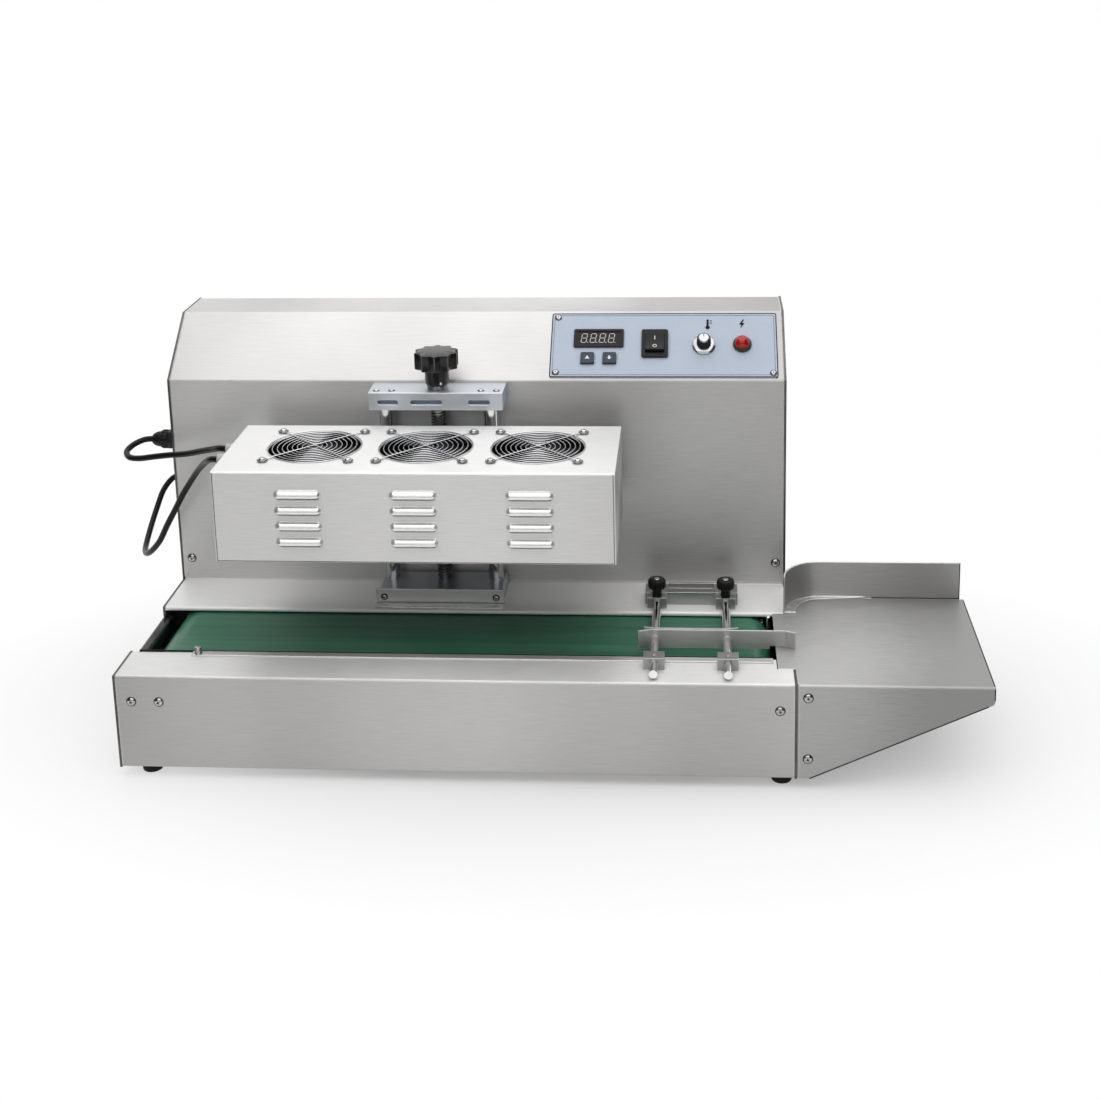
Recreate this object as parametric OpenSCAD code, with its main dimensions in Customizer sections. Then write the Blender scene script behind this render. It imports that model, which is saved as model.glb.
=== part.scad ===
// Tabletop induction cap sealer: a belt conveyor in a folded steel base, a tower with the
// power unit and a sloping control panel, and a fan-cooled sealing head that a star knob
// and a lead screw raise and lower on two guide rods.
// X runs along the belt, Y from the front to the back, Z up from the bench.

/* [Base] */
// Length of the base over its side plates
base_len = 815; // [790:1:850]
// Depth of the housing, front panel to rear panel
housing_depth = 440; // [425:1:470]
// Height of the base box, underside to deck
base_h = 120; // [116:1:130]
// Height of a rubber foot
foot_h = 13; // [10:1:18]
// Diameter of a rubber foot
foot_d = 27; // [22:1:30]
// Left foot axis to the left end
foot_left = 33; // [25:1:45]
// Right foot axis to the right end
foot_right = 17; // [16:1:30]
// Foot axis to the front or rear face
foot_in = 22; // [18:1:28]
// Thickness of a side plate
side_t = 3; // [2:0.5:4]
// Thickness of the folded sheet
sheet_t = 2; // [1.5:0.1:2.4]
// Outer radius of a sheet bend
bend_r = 3.5; // [3:0.1:4]
// Depth of the inward folds under the front and rear panels
return_w = 45; // [40:1:55]
// Depth of the deck in front of the belt
deck_front = 66; // [63:1:69]
// Depth of the ledge behind the belt
ledge_depth = 86; // [84:1:90]
// Depth of the cut for the belt in the side plates
end_notch = 33; // [25:1:40]
// Width of the black bar at the infeed end
end_bar_w = 14; // [10:1:16]
// Height of the black bar at the infeed end
end_bar_h = 21; // [16:1:24]

/* [Tower] */
// Front panel to tower face
tower_y = 276; // [272:1:282]
// Deck to the crease under the sloping panel
tower_rise = 283; // [278:1:300]
// Slope of the control face
slope_angle = 40; // [35:1:45]
// Length of the control face up its slope
slope_len = 110; // [108:1:118]
// Height of the hidden flange that carries the tower face
tower_flange = 45; // [40:1:60]

/* [Conveyor] */
// Width of the belt
belt_w = 122; // [118:1:124]
// Thickness of the belt
belt_t = 2; // [1.5:0.1:2.5]
// Drop from deck to belt
belt_drop = 7; // [7:0.5:9]
// Diameter of a belt roller
roller_d = 54; // [50:1:56]
// Left end of the base to the belt
belt_left = 22; // [20:1:30]
// Right end of the base to the belt
belt_right = 25; // [24:1:32]
// Front deck to the belt's edge
belt_gap = 5; // [4:0.5:6]
// Diameter of a roller shaft
shaft_d = 15; // [12:1:17]
// Outer diameter of a roller bearing
bearing_d = 32; // [28:1:35]
// Thickness of a conveyor rail
rail_t = 10; // [9:1:12]
// Height of a conveyor rail
rail_h = 41; // [39:1:42]
// Roller axis to motor axis
motor_spacing = 120; // [110:1:140]
// Side of the square gearbox
gearbox_w = 60; // [50:1:60]
// Diameter of the large toothed pulley
big_pulley_d = 48; // [40:1:50]
// Diameter of the small toothed pulley
small_pulley_d = 32; // [28:1:36]

/* [Sealing head] */
// Length of the cover
head_len = 483; // [476:1:500]
// Depth of the cover
head_depth = 173; // [165:1:178]
// Height of the cover
head_h = 114; // [108:1:118]
// Deck to the underside of the cover as drawn
head_gap = 125; // [115:1:130]
// Cover centre left of the column centre
head_shift = 2.5; // [0:0.5:10]
// Length of a louvre
louvre_len = 57; // [45:1:60]
// Height of a louvre
louvre_h = 13; // [10:1:14]
// Vertical pitch of the louvres
louvre_pitch = 20; // [18:0.5:21]
// Cover's lower edge to the lowest louvre's axis
louvre_low = 25; // [20:1:28]

/* [Fans] */
// Distance of a fan's fixing screws from the edges of its frame
fan_hole_edge = 7.25; // [6:0.25:8]
// Depth of a fan frame
fan_t = 25; // [22:1:32]
// Pitch of the fans along the cover
fan_pitch = 139; // [132:1:145]
// Pitch of a fan's fixing screws
fan_hole_pitch = 105; // [104:0.5:106]
// Width of a fan frame's rim beside the air opening
fan_rim = 2.75; // [2.25:0.25:6]
// Wire diameter of a finger guard
wire_d = 1.8; // [1.4:0.1:2.2]
// Rings in a finger guard
guard_rings = 9; // [6:1:10]

/* [Lift column] */
// Left end of the base to the lead screw
column_x = 364.5; // [350:0.5:380]
// Tower face to the axes of rods and screw
column_in = 22; // [21:1:24]
// Distance between the guide rods
rod_pitch = 138; // [130:1:142]
// Diameter of a guide rod
rod_d = 19; // [16:1:21]
// Diameter of the lead screw over its thread
screw_d = 20; // [16:1:22]
// Lead of the screw thread
screw_lead = 4; // [3:0.5:5]
// Diameter of the screw's journals
journal_d = 14; // [12:1:15]
// Length of the top bracket
bracket_w = 174; // [170:1:184]
// Depth of the top bracket
bracket_d = 43; // [40:1:44]
// Height of the top bracket
bracket_h = 23.5; // [20:0.5:28]
// Crease of the tower to the top bracket
bracket_drop = 3; // [2:1:8]
// Length of the foot bracket
foot_bracket_w = 168; // [164:1:178]
// Depth of the foot bracket
foot_bracket_d = 70; // [62:1:72]
// Height of the foot bracket's front flange
foot_bracket_h = 21; // [18:1:23]
// Length of the carriage
carriage_w = 184; // [178:1:190]
// Height of the carriage
carriage_h = 60; // [50:1:70]
// Depth of the carriage in front of the rods
carriage_front = 28; // [24:1:30]
// Depth of the carriage behind the rods
carriage_back = 18; // [15:1:19]
// Diameter over the star knob's lobes
knob_d = 58; // [50:1:60]
// Height of the star knob's lobed head
knob_h = 22; // [18:1:24]
// Height of the star knob's hub
knob_hub_h = 20; // [16:1:24]
// Lobes on the star knob
knob_lobes = 10; // [7:1:12]

/* [Control panel] */
// Length of the panel
panel_w = 298; // [292:1:302]
// Width of the panel up the slope
panel_h = 101; // [98:1:102]
// Panel to the right end of the base
panel_right = 10; // [8:1:14]
// Crease to the panel's lower edge
panel_low = 4.5; // [4:0.5:6]
// Thickness of the panel
panel_t = 1.5; // [1:0.1:2]
// Length of the display
display_w = 66; // [60:1:70]
// Height of the display
display_h = 28; // [24:1:30]
// Width of a push button
button_w = 17.6; // [14:0.2:18.2]
// Travel of a push button
button_travel = 1.5; // [1:0.1:2]
// Width of the rocker switch frame
switch_w = 35; // [33:1:37]
// Height of the rocker switch frame
switch_h = 43; // [41:1:45]
// Diameter of the dial's skirt
dial_skirt_d = 31; // [28:1:33]
// Diameter of the dial's grip
dial_d = 19; // [16:1:20]
// Diameter of the lamp's ring
lamp_d = 24; // [20:1:26]

/* [Bottle guides] */
// Base end to the outer guide rods' axis
guide_right = 80; // [76:1:84]
// Pitch of a guide's rods
guide_pitch = 88; // [82:1:94]
// Diameter of a guide rod
guide_rod_d = 10.5; // [8:0.5:11]
// Deck to the guide rods' axis
guide_rod_up = 7.5; // [7:0.5:9]
// Length of the front guide plate
guide_plate_w = 190; // [180:1:192]
// Height of the front guide plate
guide_plate_h = 24; // [22:1:28]
// Deck edge to the front guide plate as drawn
guide_front_in = 31; // [28:1:34]
// Gap between the two guide plates as drawn
guide_open = 19; // [18:1:24]
// Side of a guide block
guide_block_w = 25; // [22:1:28]
// Height of a guide block
guide_block_h = 15; // [14:1:18]
// Diameter of a thumb screw's head
thumb_d = 23; // [18:1:26]

/* [Outfeed table] */
// Length of the table beyond the base
table_len = 227; // [215:1:250]
// Depth of the table
table_d = 240; // [236:1:246]
// Height of the table's edge at its free end
table_edge = 21; // [16:1:30]
// Height of the fence
fence_h = 50; // [40:1:60]
// Radius of the fence's curved end
fence_r = 50; // [44:1:56]
// Free end of the table to the fence
fence_right = 5; // [4:1:15]

/* [Fits] */
// Radial clearance of a running fit
run_fit = 0.05; // [0.03:0.01:0.08]
// Clearance between pieces that pass each other
air = 0.3; // [0.25:0.05:0.4]
// Diameter of a cable
cable_d = 8; // [7:0.5:9]

/* [Hidden] */
$fn = 48;

// Overall place: the origin is under the middle of the housing and table
overall_len = base_len + table_len;
origin = [-overall_len / 2, -housing_depth / 2, 0];

// Heights of the housing
deck_z = foot_h + base_h;
crease_z = deck_z + tower_rise;
slope_run = slope_len * cos(slope_angle);
tower_top = crease_z + slope_len * sin(slope_angle);
ledge_y = tower_y - ledge_depth;
notch_z = deck_z - end_notch;
inner_len = base_len - 2 * side_t;
floor_z = foot_h + 2 * sheet_t;
deck_lip = 12;
ledge_lip = 5;
tongue_y = 40;
tongue_len = 22;

// Screws: head diameter, head height, shank radius and length under the head
screw_head = [10.5, 2.8, 2.5, 7];
small_head = [7.6, 2.2, 2, 5];
fan_head = [8.5, 2.6, 2, 9];
screw_slack = 0.1;
front_screws = [[21, 100], [54.5, 100], [base_len - 20, 100]];
tower_screws = [[15, 31.5], [base_len - 13, 31.5]];
table_screws = [[12.5, 16], [12.5, 94]];
rear_screws = [for (x = [20, base_len / 2, base_len - 20], z = [foot_h + 20, crease_z]) [x, z]];

// Conveyor
belt_top = deck_z - belt_drop;
roll_r = roller_d / 2;
belt_in = roll_r + air;
belt_out = belt_in + belt_t;
roller_z = belt_top - belt_out;
idler_x = belt_left + belt_out;
drive_x = base_len - belt_right - belt_out;
belt_y0 = deck_front + belt_gap;
belt_y1 = belt_y0 + belt_w;
rail_gap = 4;
rail_front = belt_y0 - rail_gap;
rail_back = belt_y1 + rail_gap;
rail_z = roller_z - rail_h / 2;
shaft_r = shaft_d / 2;
bearing_w = 9;
pulley_w = 12;
pulley_y = rail_back + rail_t + 5;
belt_strip_t = 2.5;
motor_x = drive_x - motor_spacing;
motor_y = pulley_y + pulley_w + 4;
motor_shaft_r = 5;
gearbox_len = 40;
motor_len = 80;
stand_t = 4;

// Sealing head
column_y = tower_y - column_in;
head_x0 = column_x - head_shift - head_len / 2;
head_y1 = column_y - carriage_front;
head_y0 = head_y1 - head_depth;
head_z0 = deck_z + head_gap;
fan_w = fan_hole_pitch + 2 * fan_hole_edge;
fan_bore = fan_w - 2 * fan_rim;
head_z1 = head_z0 + head_h;
fan_y = (head_y0 + head_y1) / 2 + 3;
fan_shift = 1.5;
fan_x = [for (i = [-1, 0, 1]) column_x + fan_shift + i * fan_pitch];
fan_z1 = head_z1 - sheet_t;
fan_z0 = fan_z1 - fan_t;
guard_seat = 2 * wire_d * 0.6;
tray_z = head_z0 + 1;
tray_h = 30;

// Lift column
rod_x = [column_x - rod_pitch / 2, column_x + rod_pitch / 2];
bracket_z1 = crease_z - bracket_drop;
bracket_z0 = bracket_z1 - bracket_h;
foot_sheet_t = 3;
foot_y0 = tower_y - foot_bracket_d;
foot_block_z0 = deck_z + foot_sheet_t;
foot_block_h = 14;
foot_block_z1 = foot_block_z0 + foot_block_h;
carriage_z = head_z0 + 27;
bush_wall = 3;
nut_r = screw_d / 2 + 6;
journal_in_knob = 14;
knob_hub_r = 15.5;
collar_h = 6;
knob_z = bracket_z1 + air + collar_h;

// Control panel, as distances along X and up the slope
panel_x0 = base_len - panel_right - panel_w;
display_at = [panel_x0 + 63.5, 64.5];
button_at = [[panel_x0 + 49.3, 32.8], [panel_x0 + 78.3, 32.8]];
switch_at = [panel_x0 + 137.5, 56];
dial_at = [panel_x0 + 201.8, 54.5];
lamp_at = [panel_x0 + 252, 55];
panel_screws = [[panel_x0 + 8.5, 98.5], [panel_x0 + 8.5, 12], [panel_x0 + panel_w - 6.5, 11]];
rocker_tilt = -8;
rocker_w = 24.8;
rocker_len = 28.6;
rocker_air = 0.8;

// Bottle guides
guide_x = [base_len - guide_right - guide_pitch, base_len - guide_right];
guide_z = deck_z + guide_rod_up;
guide_rod_r = guide_rod_d / 2;
guide_t = 2;
front_plate_y = deck_front + guide_front_in;
rear_plate_y = front_plate_y + guide_t + guide_open;
front_block_y = 34;
front_block_d = 18;
rear_block_y = ledge_y + 10;
rear_block_d = 40;
guide_plate_x = guide_x[0] - 20;
stud_r = 3;

// Cables, as points chosen along the way from the tower's wall to the cover's left wall
gland_y = [300, housing_depth - 40];
gland_z = [326, 236];
gland_len = 34;
head_gland_y = [172, 134];
head_gland_z = 358;
head_gland_len = 14;
upper_route = [[-34, 300, 326], [-46, 299, 325], [-58, 290, 321], [-62, 274, 317], [-53, 258, 315],
    [-36, 248, 317], [-14, 241, 322], [10, 234, 327], [36, 222, 333], [60, 207, 342],
    [82, 190, 351], [96, 177, 357], [106.5, 172, 358]];
lower_route = [[-34, 400, 236], [-46, 399, 232], [-57, 388, 218], [-61, 366, 199], [-61, 340, 185],
    [-59, 314, 174], [-54, 290, 170], [-44, 268, 174], [-30, 251, 186], [-14, 239, 205],
    [1, 229, 231], [17, 219, 257], [33, 208, 283], [49, 196, 306], [65, 180, 327],
    [81, 160, 344], [94, 142, 355], [106.5, 134, 358]];

// Plain geometry helpers
function unit(v) = v / norm(v);
function left_of(d) = [-d[1], d[0]];
function turned(d, a) = [d[0] * cos(a) - d[1] * sin(a), d[0] * sin(a) + d[1] * cos(a)];
function side_of(a, b) = sign(a[0] * b[1] - a[1] * b[0]);
function reversed(l) = [for (i = [len(l) - 1:-1:0]) l[i]];

// One face of a folded sheet: the path moved off to the left, with its corners rounded
bend_steps = 6;
function bend(p, q, s, r, off) =
    let (d = unit(q - p), e = unit(s - q), turn = side_of(d, e), a = acos(d * e))
    let (start = q - d * r * tan(a / 2), mid = start + left_of(d) * r * turn)
    [for (k = [0:bend_steps])
        mid - left_of(turned(d, turn * a * k / bend_steps)) * turn * (r - turn * off)];
function face_line(path, r, off) =
    let (n = len(path) - 1)
    let (first = path[0] + left_of(unit(path[1] - path[0])) * off)
    let (last = path[n] + left_of(unit(path[n] - path[n - 1])) * off)
    concat([first], [for (i = [1:n - 1]) each bend(path[i - 1], path[i], path[i + 1], r, off)], [last]);

// A folded sheet's section; off is the thickness, to the left of the path if positive
module sheet_section(path, off, r = bend_r)
    polygon(concat(face_line(path, r, 0), reversed(face_line(path, r, off))));

// Sections drawn in YZ and XZ, run along X and Y
module along_x(x, length) translate([x, 0, 0]) rotate([90, 0, 90]) linear_extrude(length) children();
module along_y(y, length) translate([0, y + length, 0]) rotate([90, 0, 0]) linear_extrude(length) children();

// Places on the sloping face: x along it, u up the slope, h out of it
module on_slope(at, h = 0)
    translate([at[0], tower_y, crease_z]) rotate([slope_angle, 0, 0]) translate([0, at[1], h]) children();
module facing_front(x, y, z) translate([x, y, z]) rotate([90, 0, 0]) children();
module facing_back(x, y, z) translate([x, y, z]) rotate([-90, 0, 0]) children();
module facing_left(x, y, z) translate([x, y, z]) rotate([0, -90, 0]) children();
module placed() translate(origin) children();

module round_rect(w, h, r) {
    square([w - 2 * r, h], center = true);
    square([w, h - 2 * r], center = true);
    for (x = [-1, 1], y = [-1, 1])
        translate([x * (w / 2 - r), y * (h / 2 - r)]) circle(r);
}
module slot_shape(length, h) {
    square([length - h, h], center = true);
    for (x = [-1, 1])
        translate([x * (length - h) / 2, 0]) circle(h / 2);
}
module tube(r_out, r_in, h) difference() {
    cylinder(r = r_out, h = h);
    translate([0, 0, -1]) cylinder(r = r_in, h = h + 2);
}

// A pan-head screw with a cross recess, its head seated on z = 0
module pan_screw(size) {
    r = size[0] / 2;
    h = size[1];
    difference() {
        rotate_extrude()
            polygon([[0, 0], [r, 0], [r, h * 0.45], [r * 0.86, h * 0.8], [r * 0.55, h], [0, h]]);
        for (a = [0, 90])
            rotate(a) translate([-r * 0.5, -r * 0.1, h * 0.45]) cube([r, r * 0.2, h]);
    }
    translate([0, 0, -size[3]]) cylinder(r = size[2], h = size[3]);
}
module screw_hole(size) translate([0, 0, -size[3] - 1]) cylinder(r = size[2] + screw_slack, h = size[3] + 2);

// Housing
module side_outline(notch_y)
    polygon([[0, foot_h], [0, deck_z], [notch_y, deck_z], [notch_y, notch_z], [ledge_y, notch_z],
        [ledge_y, deck_z], [tower_y, deck_z], [tower_y, crease_z], [tower_y + slope_run, tower_top],
        [housing_depth, tower_top], [housing_depth, foot_h]]);

gland_hole_r = 8;
module left_side_plate() placed() color("Silver") difference() {
    along_x(0, side_t) side_outline(deck_front);
    for (i = [0, 1])
        facing_left(side_t + 1, gland_y[i], gland_z[i]) cylinder(r = gland_hole_r, h = side_t + 2);
}

module right_side_plate() placed() color("Silver")
    along_x(base_len - side_t, side_t) side_outline(tongue_y);

module base_front_panel() placed() color("Silver") difference() {
    along_x(side_t, inner_len)
        sheet_section([[return_w, foot_h], [0, foot_h], [0, deck_z], [deck_front, deck_z],
            [deck_front, deck_z - deck_lip]], -sheet_t);
    for (s = front_screws)
        facing_front(s[0], 0, s[1]) screw_hole(screw_head);
    translate([base_len - tongue_len, tongue_y, deck_z - deck_lip - 1])
        cube([tongue_len, deck_front, deck_lip + 2]);
    translate([strip_x0 + 8, strip_y + strip_w / 2, deck_z + strip_t]) screw_hole(strip_head);
}

// The floor of the base with the stands that carry the conveyor and the motor
conveyor_stands = [200, base_len - 205];
module bottom_plate() placed() color("Gainsboro") {
    inset = bend_r + 0.5;
    translate([side_t, inset, foot_h + sheet_t]) cube([inner_len, housing_depth - 2 * inset, sheet_t]);
    low = roller_z - belt_out - 8;
    for (x = conveyor_stands)
        along_x(x, stand_t)
            polygon([[rail_front - rail_t, floor_z], [rail_front - rail_t, rail_z], [rail_front, rail_z],
                [rail_front, low], [rail_back, low], [rail_back, rail_z], [rail_back + rail_t, rail_z],
                [rail_back + rail_t, floor_z]]);
    for (x = [motor_x - gearbox_w / 2, motor_x + gearbox_w / 2 - stand_t])
        translate([x, motor_y, floor_z]) cube([stand_t, gearbox_len, roller_z - gearbox_w / 2 - floor_z]);
}

module deck_ledge() placed() color("Silver") difference() {
    along_x(side_t, inner_len)
        sheet_section([[ledge_y, deck_z - ledge_lip], [ledge_y, deck_z], [tower_y + sheet_t, deck_z],
            [tower_y + sheet_t, deck_z + tower_flange]], -sheet_t);
    for (s = tower_screws)
        facing_front(s[0], tower_y, deck_z + s[1]) screw_hole(screw_head);
}

panel_rim = 12;
module tower_cover() placed() color("Silver") difference() {
    back = housing_depth - sheet_t;
    along_x(side_t, inner_len)
        sheet_section([[tower_y, deck_z + bend_r], [tower_y, crease_z], [tower_y + slope_run, tower_top],
            [back, tower_top], [back, tower_top - 25]], -sheet_t);
    for (s = tower_screws)
        facing_front(s[0], tower_y, deck_z + s[1]) screw_hole(screw_head);
    on_slope([panel_x0 + panel_rim, panel_low + panel_rim], -sheet_t - 4)
        cube([panel_w - 2 * panel_rim, panel_h - 2 * panel_rim, sheet_t + 8]);
    for (s = panel_screws)
        on_slope(s) screw_hole(small_head);
}

inlet_at = [base_len - 110, foot_h + 52];
inlet_body = [28, 21];
module rear_panel() placed() color("Silver") difference() {
    along_x(side_t, inner_len)
        sheet_section([[housing_depth - return_w, foot_h], [housing_depth, foot_h],
            [housing_depth, tower_top - bend_r]], sheet_t);
    for (s = rear_screws)
        facing_back(s[0], housing_depth, s[1]) screw_hole(screw_head);
    translate([inlet_at[0], housing_depth, inlet_at[1]])
        cube([inlet_body[0] + 2 * air, 4 * sheet_t, inlet_body[1] + 2 * air], center = true);
    for (x = [-1, 1], i = [0:7])
        translate([base_len / 2 + x * 180, 0, crease_z - 60 - i * 16])
            along_y(housing_depth - 2 * sheet_t, 4 * sheet_t) slot_shape(110, 6);
}

// Rubber feet under the folds of the front and rear panels
module rubber_feet() placed() color("DimGray")
    for (x = [foot_left, base_len - foot_right], y = [foot_in, housing_depth - foot_in])
        translate([x, y, 0]) rotate_extrude() difference() {
            polygon([[0, 0], [foot_d * 0.42, 0], [foot_d * 0.46, 1.5], [foot_d / 2, foot_h - 2],
                [foot_d / 2, foot_h], [0, foot_h]]);
            translate([-1, -1]) square([foot_d * 0.16 + 1, foot_h * 0.4 + 1]);
        }

// Screws that show on the housing, the brackets, the guide blocks, the table and the panel
bracket_screw_x = [58, 78];
foot_screw_in = 10.5;
module housing_screws() placed() color("LightGray") {
    for (s = front_screws)
        facing_front(s[0], 0, s[1]) pan_screw(screw_head);
    for (s = tower_screws)
        facing_front(s[0], tower_y, deck_z + s[1]) pan_screw(screw_head);
    for (s = table_screws)
        facing_front(base_len + s[0], 0, deck_z - s[1]) pan_screw(screw_head);
    for (s = rear_screws)
        facing_back(s[0], housing_depth, s[1]) pan_screw(screw_head);
    for (s = panel_screws)
        on_slope(s, panel_t) pan_screw(small_head);
    for (side = [-1, 1])
        facing_front(column_x + side * (foot_bracket_w / 2 - foot_screw_in), foot_y0, foot_screw_z)
            pan_screw(small_head);
    for (side = [-1, 1], x = bracket_screw_x)
        translate([column_x + side * x, column_y - 11, bracket_z1]) pan_screw(small_head);
    translate([strip_x0 + 8, strip_y + strip_w / 2, deck_z + strip_t]) pan_screw(strip_head);
}

// Flat strip on the deck along the belt's front edge
strip_x0 = 80;
strip_w = 10.5;
strip_t = 1.5;
strip_y = deck_front - strip_w - 2;
strip_head = [9, 8.5, 1.5, 3];
module belt_edge_strip() placed() color("Gainsboro") difference() {
    translate([strip_x0, strip_y, deck_z]) cube([base_len - tongue_len - 4 - strip_x0, strip_w, strip_t]);
    translate([strip_x0 + 8, strip_y + strip_w / 2, deck_z + strip_t]) screw_hole(strip_head);
}

module belt_end_bar() placed() color("DimGray")
    translate([end_bar_w / 2, 0, notch_z + end_bar_h / 2])
        along_y(deck_front + air, ledge_y - deck_front - 2 * air) round_rect(end_bar_w, end_bar_h, 4);

// Mains inlet socket in the rear panel
module power_inlet() placed() color("DimGray")
    translate([inlet_at[0], housing_depth, inlet_at[1]]) difference() {
        union() {
            translate([-24, 0, -14]) cube([48, screw_head[1], 28]);
            translate([-inlet_body[0] / 2, -24, -inlet_body[1] / 2])
                cube([inlet_body[0], 25, inlet_body[1]]);
        }
        translate([-11.5, -16, -8]) cube([23, 30, 16]);
    }

// Conveyor
module stadium(r) {
    translate([idler_x, roller_z - r]) square([drive_x - idler_x, 2 * r]);
    for (x = [idler_x, drive_x])
        translate([x, roller_z]) circle(r);
}
module conveyor_belt() placed() color("SeaGreen")
    along_y(belt_y0, belt_w) difference() {
        stadium(belt_out);
        stadium(belt_in);
    }

module roller(x) translate([x, 0, roller_z]) rotate([-90, 0, 0]) {
    translate([0, 0, belt_y0 - 2]) cylinder(r = roll_r, h = belt_w + 4);
    translate([0, 0, rail_front - rail_t]) cylinder(r = shaft_r, h = rail_back - rail_front + 2 * rail_t);
}
module idler_roller() placed() color("Silver") roller(idler_x);

module pulley(d) {
    cylinder(r = d / 2, h = pulley_w);
    for (z = [0, pulley_w - 1])
        translate([0, 0, z]) cylinder(r = d / 2 + 3, h = 1);
}
module drive_roller() placed() color("Silver") {
    roller(drive_x);
    translate([drive_x, pulley_y, roller_z]) rotate([-90, 0, 0]) {
        pulley(big_pulley_d);
        translate([0, 0, rail_back + rail_t - pulley_y - 1]) cylinder(r = shaft_r, h = 7);
    }
}

module motor_pulley() placed() color("Silver") translate([motor_x, pulley_y, roller_z]) rotate([-90, 0, 0]) {
    pulley(small_pulley_d);
    cylinder(r = motor_shaft_r, h = motor_y - pulley_y + 15);
}

// A toothed belt's plain loop round both pulleys, with straight runs along the outer tangents
loop_steps = 24;
function arc_points(mid, r, from, to) =
    [for (k = [0:loop_steps])
        let (a = from + (to - from) * k / loop_steps)
        mid + r * [cos(a), sin(a)]];
function loop_line(r1, r2) =
    let (a = 180 - acos((r1 - r2) / motor_spacing))
    concat(arc_points([drive_x, roller_z], r1, a, -a), arc_points([motor_x, roller_z], r2, 360 - a, a));
module drive_belt() placed() color("DimGray")
    along_y(pulley_y + 1.5, pulley_w - 3) {
        big = big_pulley_d / 2 + air;
        small = small_pulley_d / 2 + air;
        difference() {
            polygon(loop_line(big + belt_strip_t, small + belt_strip_t));
            polygon(loop_line(big, small));
        }
    }

module gear_motor() placed() color("SlateGray") translate([motor_x, motor_y, roller_z]) rotate([-90, 0, 0])
    difference() {
        union() {
            translate([-gearbox_w / 2, -gearbox_w / 2, 0]) cube([gearbox_w, gearbox_w, gearbox_len]);
            cylinder(r = gearbox_w / 2 - 2, h = gearbox_len + motor_len);
        }
        translate([0, 0, -1]) cylinder(r = motor_shaft_r + run_fit, h = 17);
    }

module conveyor_rails() placed() color("LightGray")
    for (y = [rail_front - rail_t, rail_back]) difference() {
        translate([idler_x - 22, y, rail_z]) cube([drive_x - idler_x + 44, rail_t, rail_h]);
        for (x = [idler_x, drive_x])
            translate([x, y - 1, roller_z]) rotate([-90, 0, 0])
                cylinder(r = bearing_d / 2 + run_fit, h = rail_t + 2);
    }
module roller_bearings() placed() color("Silver")
    for (x = [idler_x, drive_x], y = [rail_front - rail_t, rail_back])
        translate([x, y + (rail_t - bearing_w) / 2, roller_z]) rotate([-90, 0, 0])
            tube(bearing_d / 2, shaft_r + run_fit, bearing_w);

// Slider bed under the belt's top run, folded down inside the rails
module belt_bed() placed() color("LightGray")
    along_x(idler_x + roll_r + 12, drive_x - idler_x - 2 * roll_r - 24) {
        top = roller_z + belt_in - air;
        sheet_section([[rail_front, rail_z + 6], [rail_front, top], [rail_back, top],
            [rail_back, rail_z + 6]], -1.5, 2.5);
    }

// Sealing head
louvre_wall = 1.2;
louvre_mouth = 0.36;
module louvre_body(grow) {
    w = louvre_h + 2 * grow;
    rotate([0, 90, 0]) rotate_extrude() intersection() {
        rotate(90) slot_shape(louvre_len + 2 * grow, w);
        translate([0, -louvre_len]) square([w, 2 * louvre_len]);
    }
}
module louvre_hood() intersection() {
    louvre_body(0);
    translate([-louvre_len, -louvre_h, -louvre_h])
        cube([2 * louvre_len, louvre_h + sheet_t / 2, 2 * louvre_h]);
}
louvre_at = [for (x = fan_x, i = [0:3]) [x - 2.5, head_z0 + louvre_low + i * louvre_pitch]];
fan_corners = [for (x = fan_x, i = [-1, 1], j = [-1, 1])
    [x + i * fan_hole_pitch / 2, fan_y + j * fan_hole_pitch / 2]];
module head_cover() placed() color("Silver") {
    difference() {
        union() {
            along_x(head_x0, head_len)
                sheet_section([[head_y0, head_z0], [head_y0, head_z1], [head_y1, head_z1],
                    [head_y1, head_z0]], -sheet_t);
            for (x = [head_x0, head_x0 + head_len - sheet_t])
                translate([x, head_y0 + sheet_t / 2, head_z0])
                    cube([sheet_t, head_depth - sheet_t, head_h - sheet_t / 2]);
            for (p = louvre_at)
                translate([p[0], head_y0, p[1]]) louvre_hood();
        }
        for (p = louvre_at) {
            translate([p[0], head_y0, p[1]]) louvre_body(-louvre_wall);
            translate([p[0] - louvre_len / 2, head_y0 - louvre_h, p[1] - louvre_h / 2 - 1])
                cube([louvre_len, louvre_h, louvre_h * louvre_mouth + 1]);
        }
        for (x = fan_x)
            translate([x, fan_y, head_z1 - 3 * sheet_t])
                cylinder(r = fan_bore / 2, h = 6 * sheet_t, $fn = 96);
        for (p = fan_corners)
            translate([p[0], p[1], head_z1 + guard_seat]) screw_hole(fan_head);
        for (y = head_gland_y)
            facing_left(head_x0 + sheet_t + 1, y, head_gland_z)
                cylinder(r = cable_d / 2 + 1, h = sheet_t + 2);
    }
}

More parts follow.
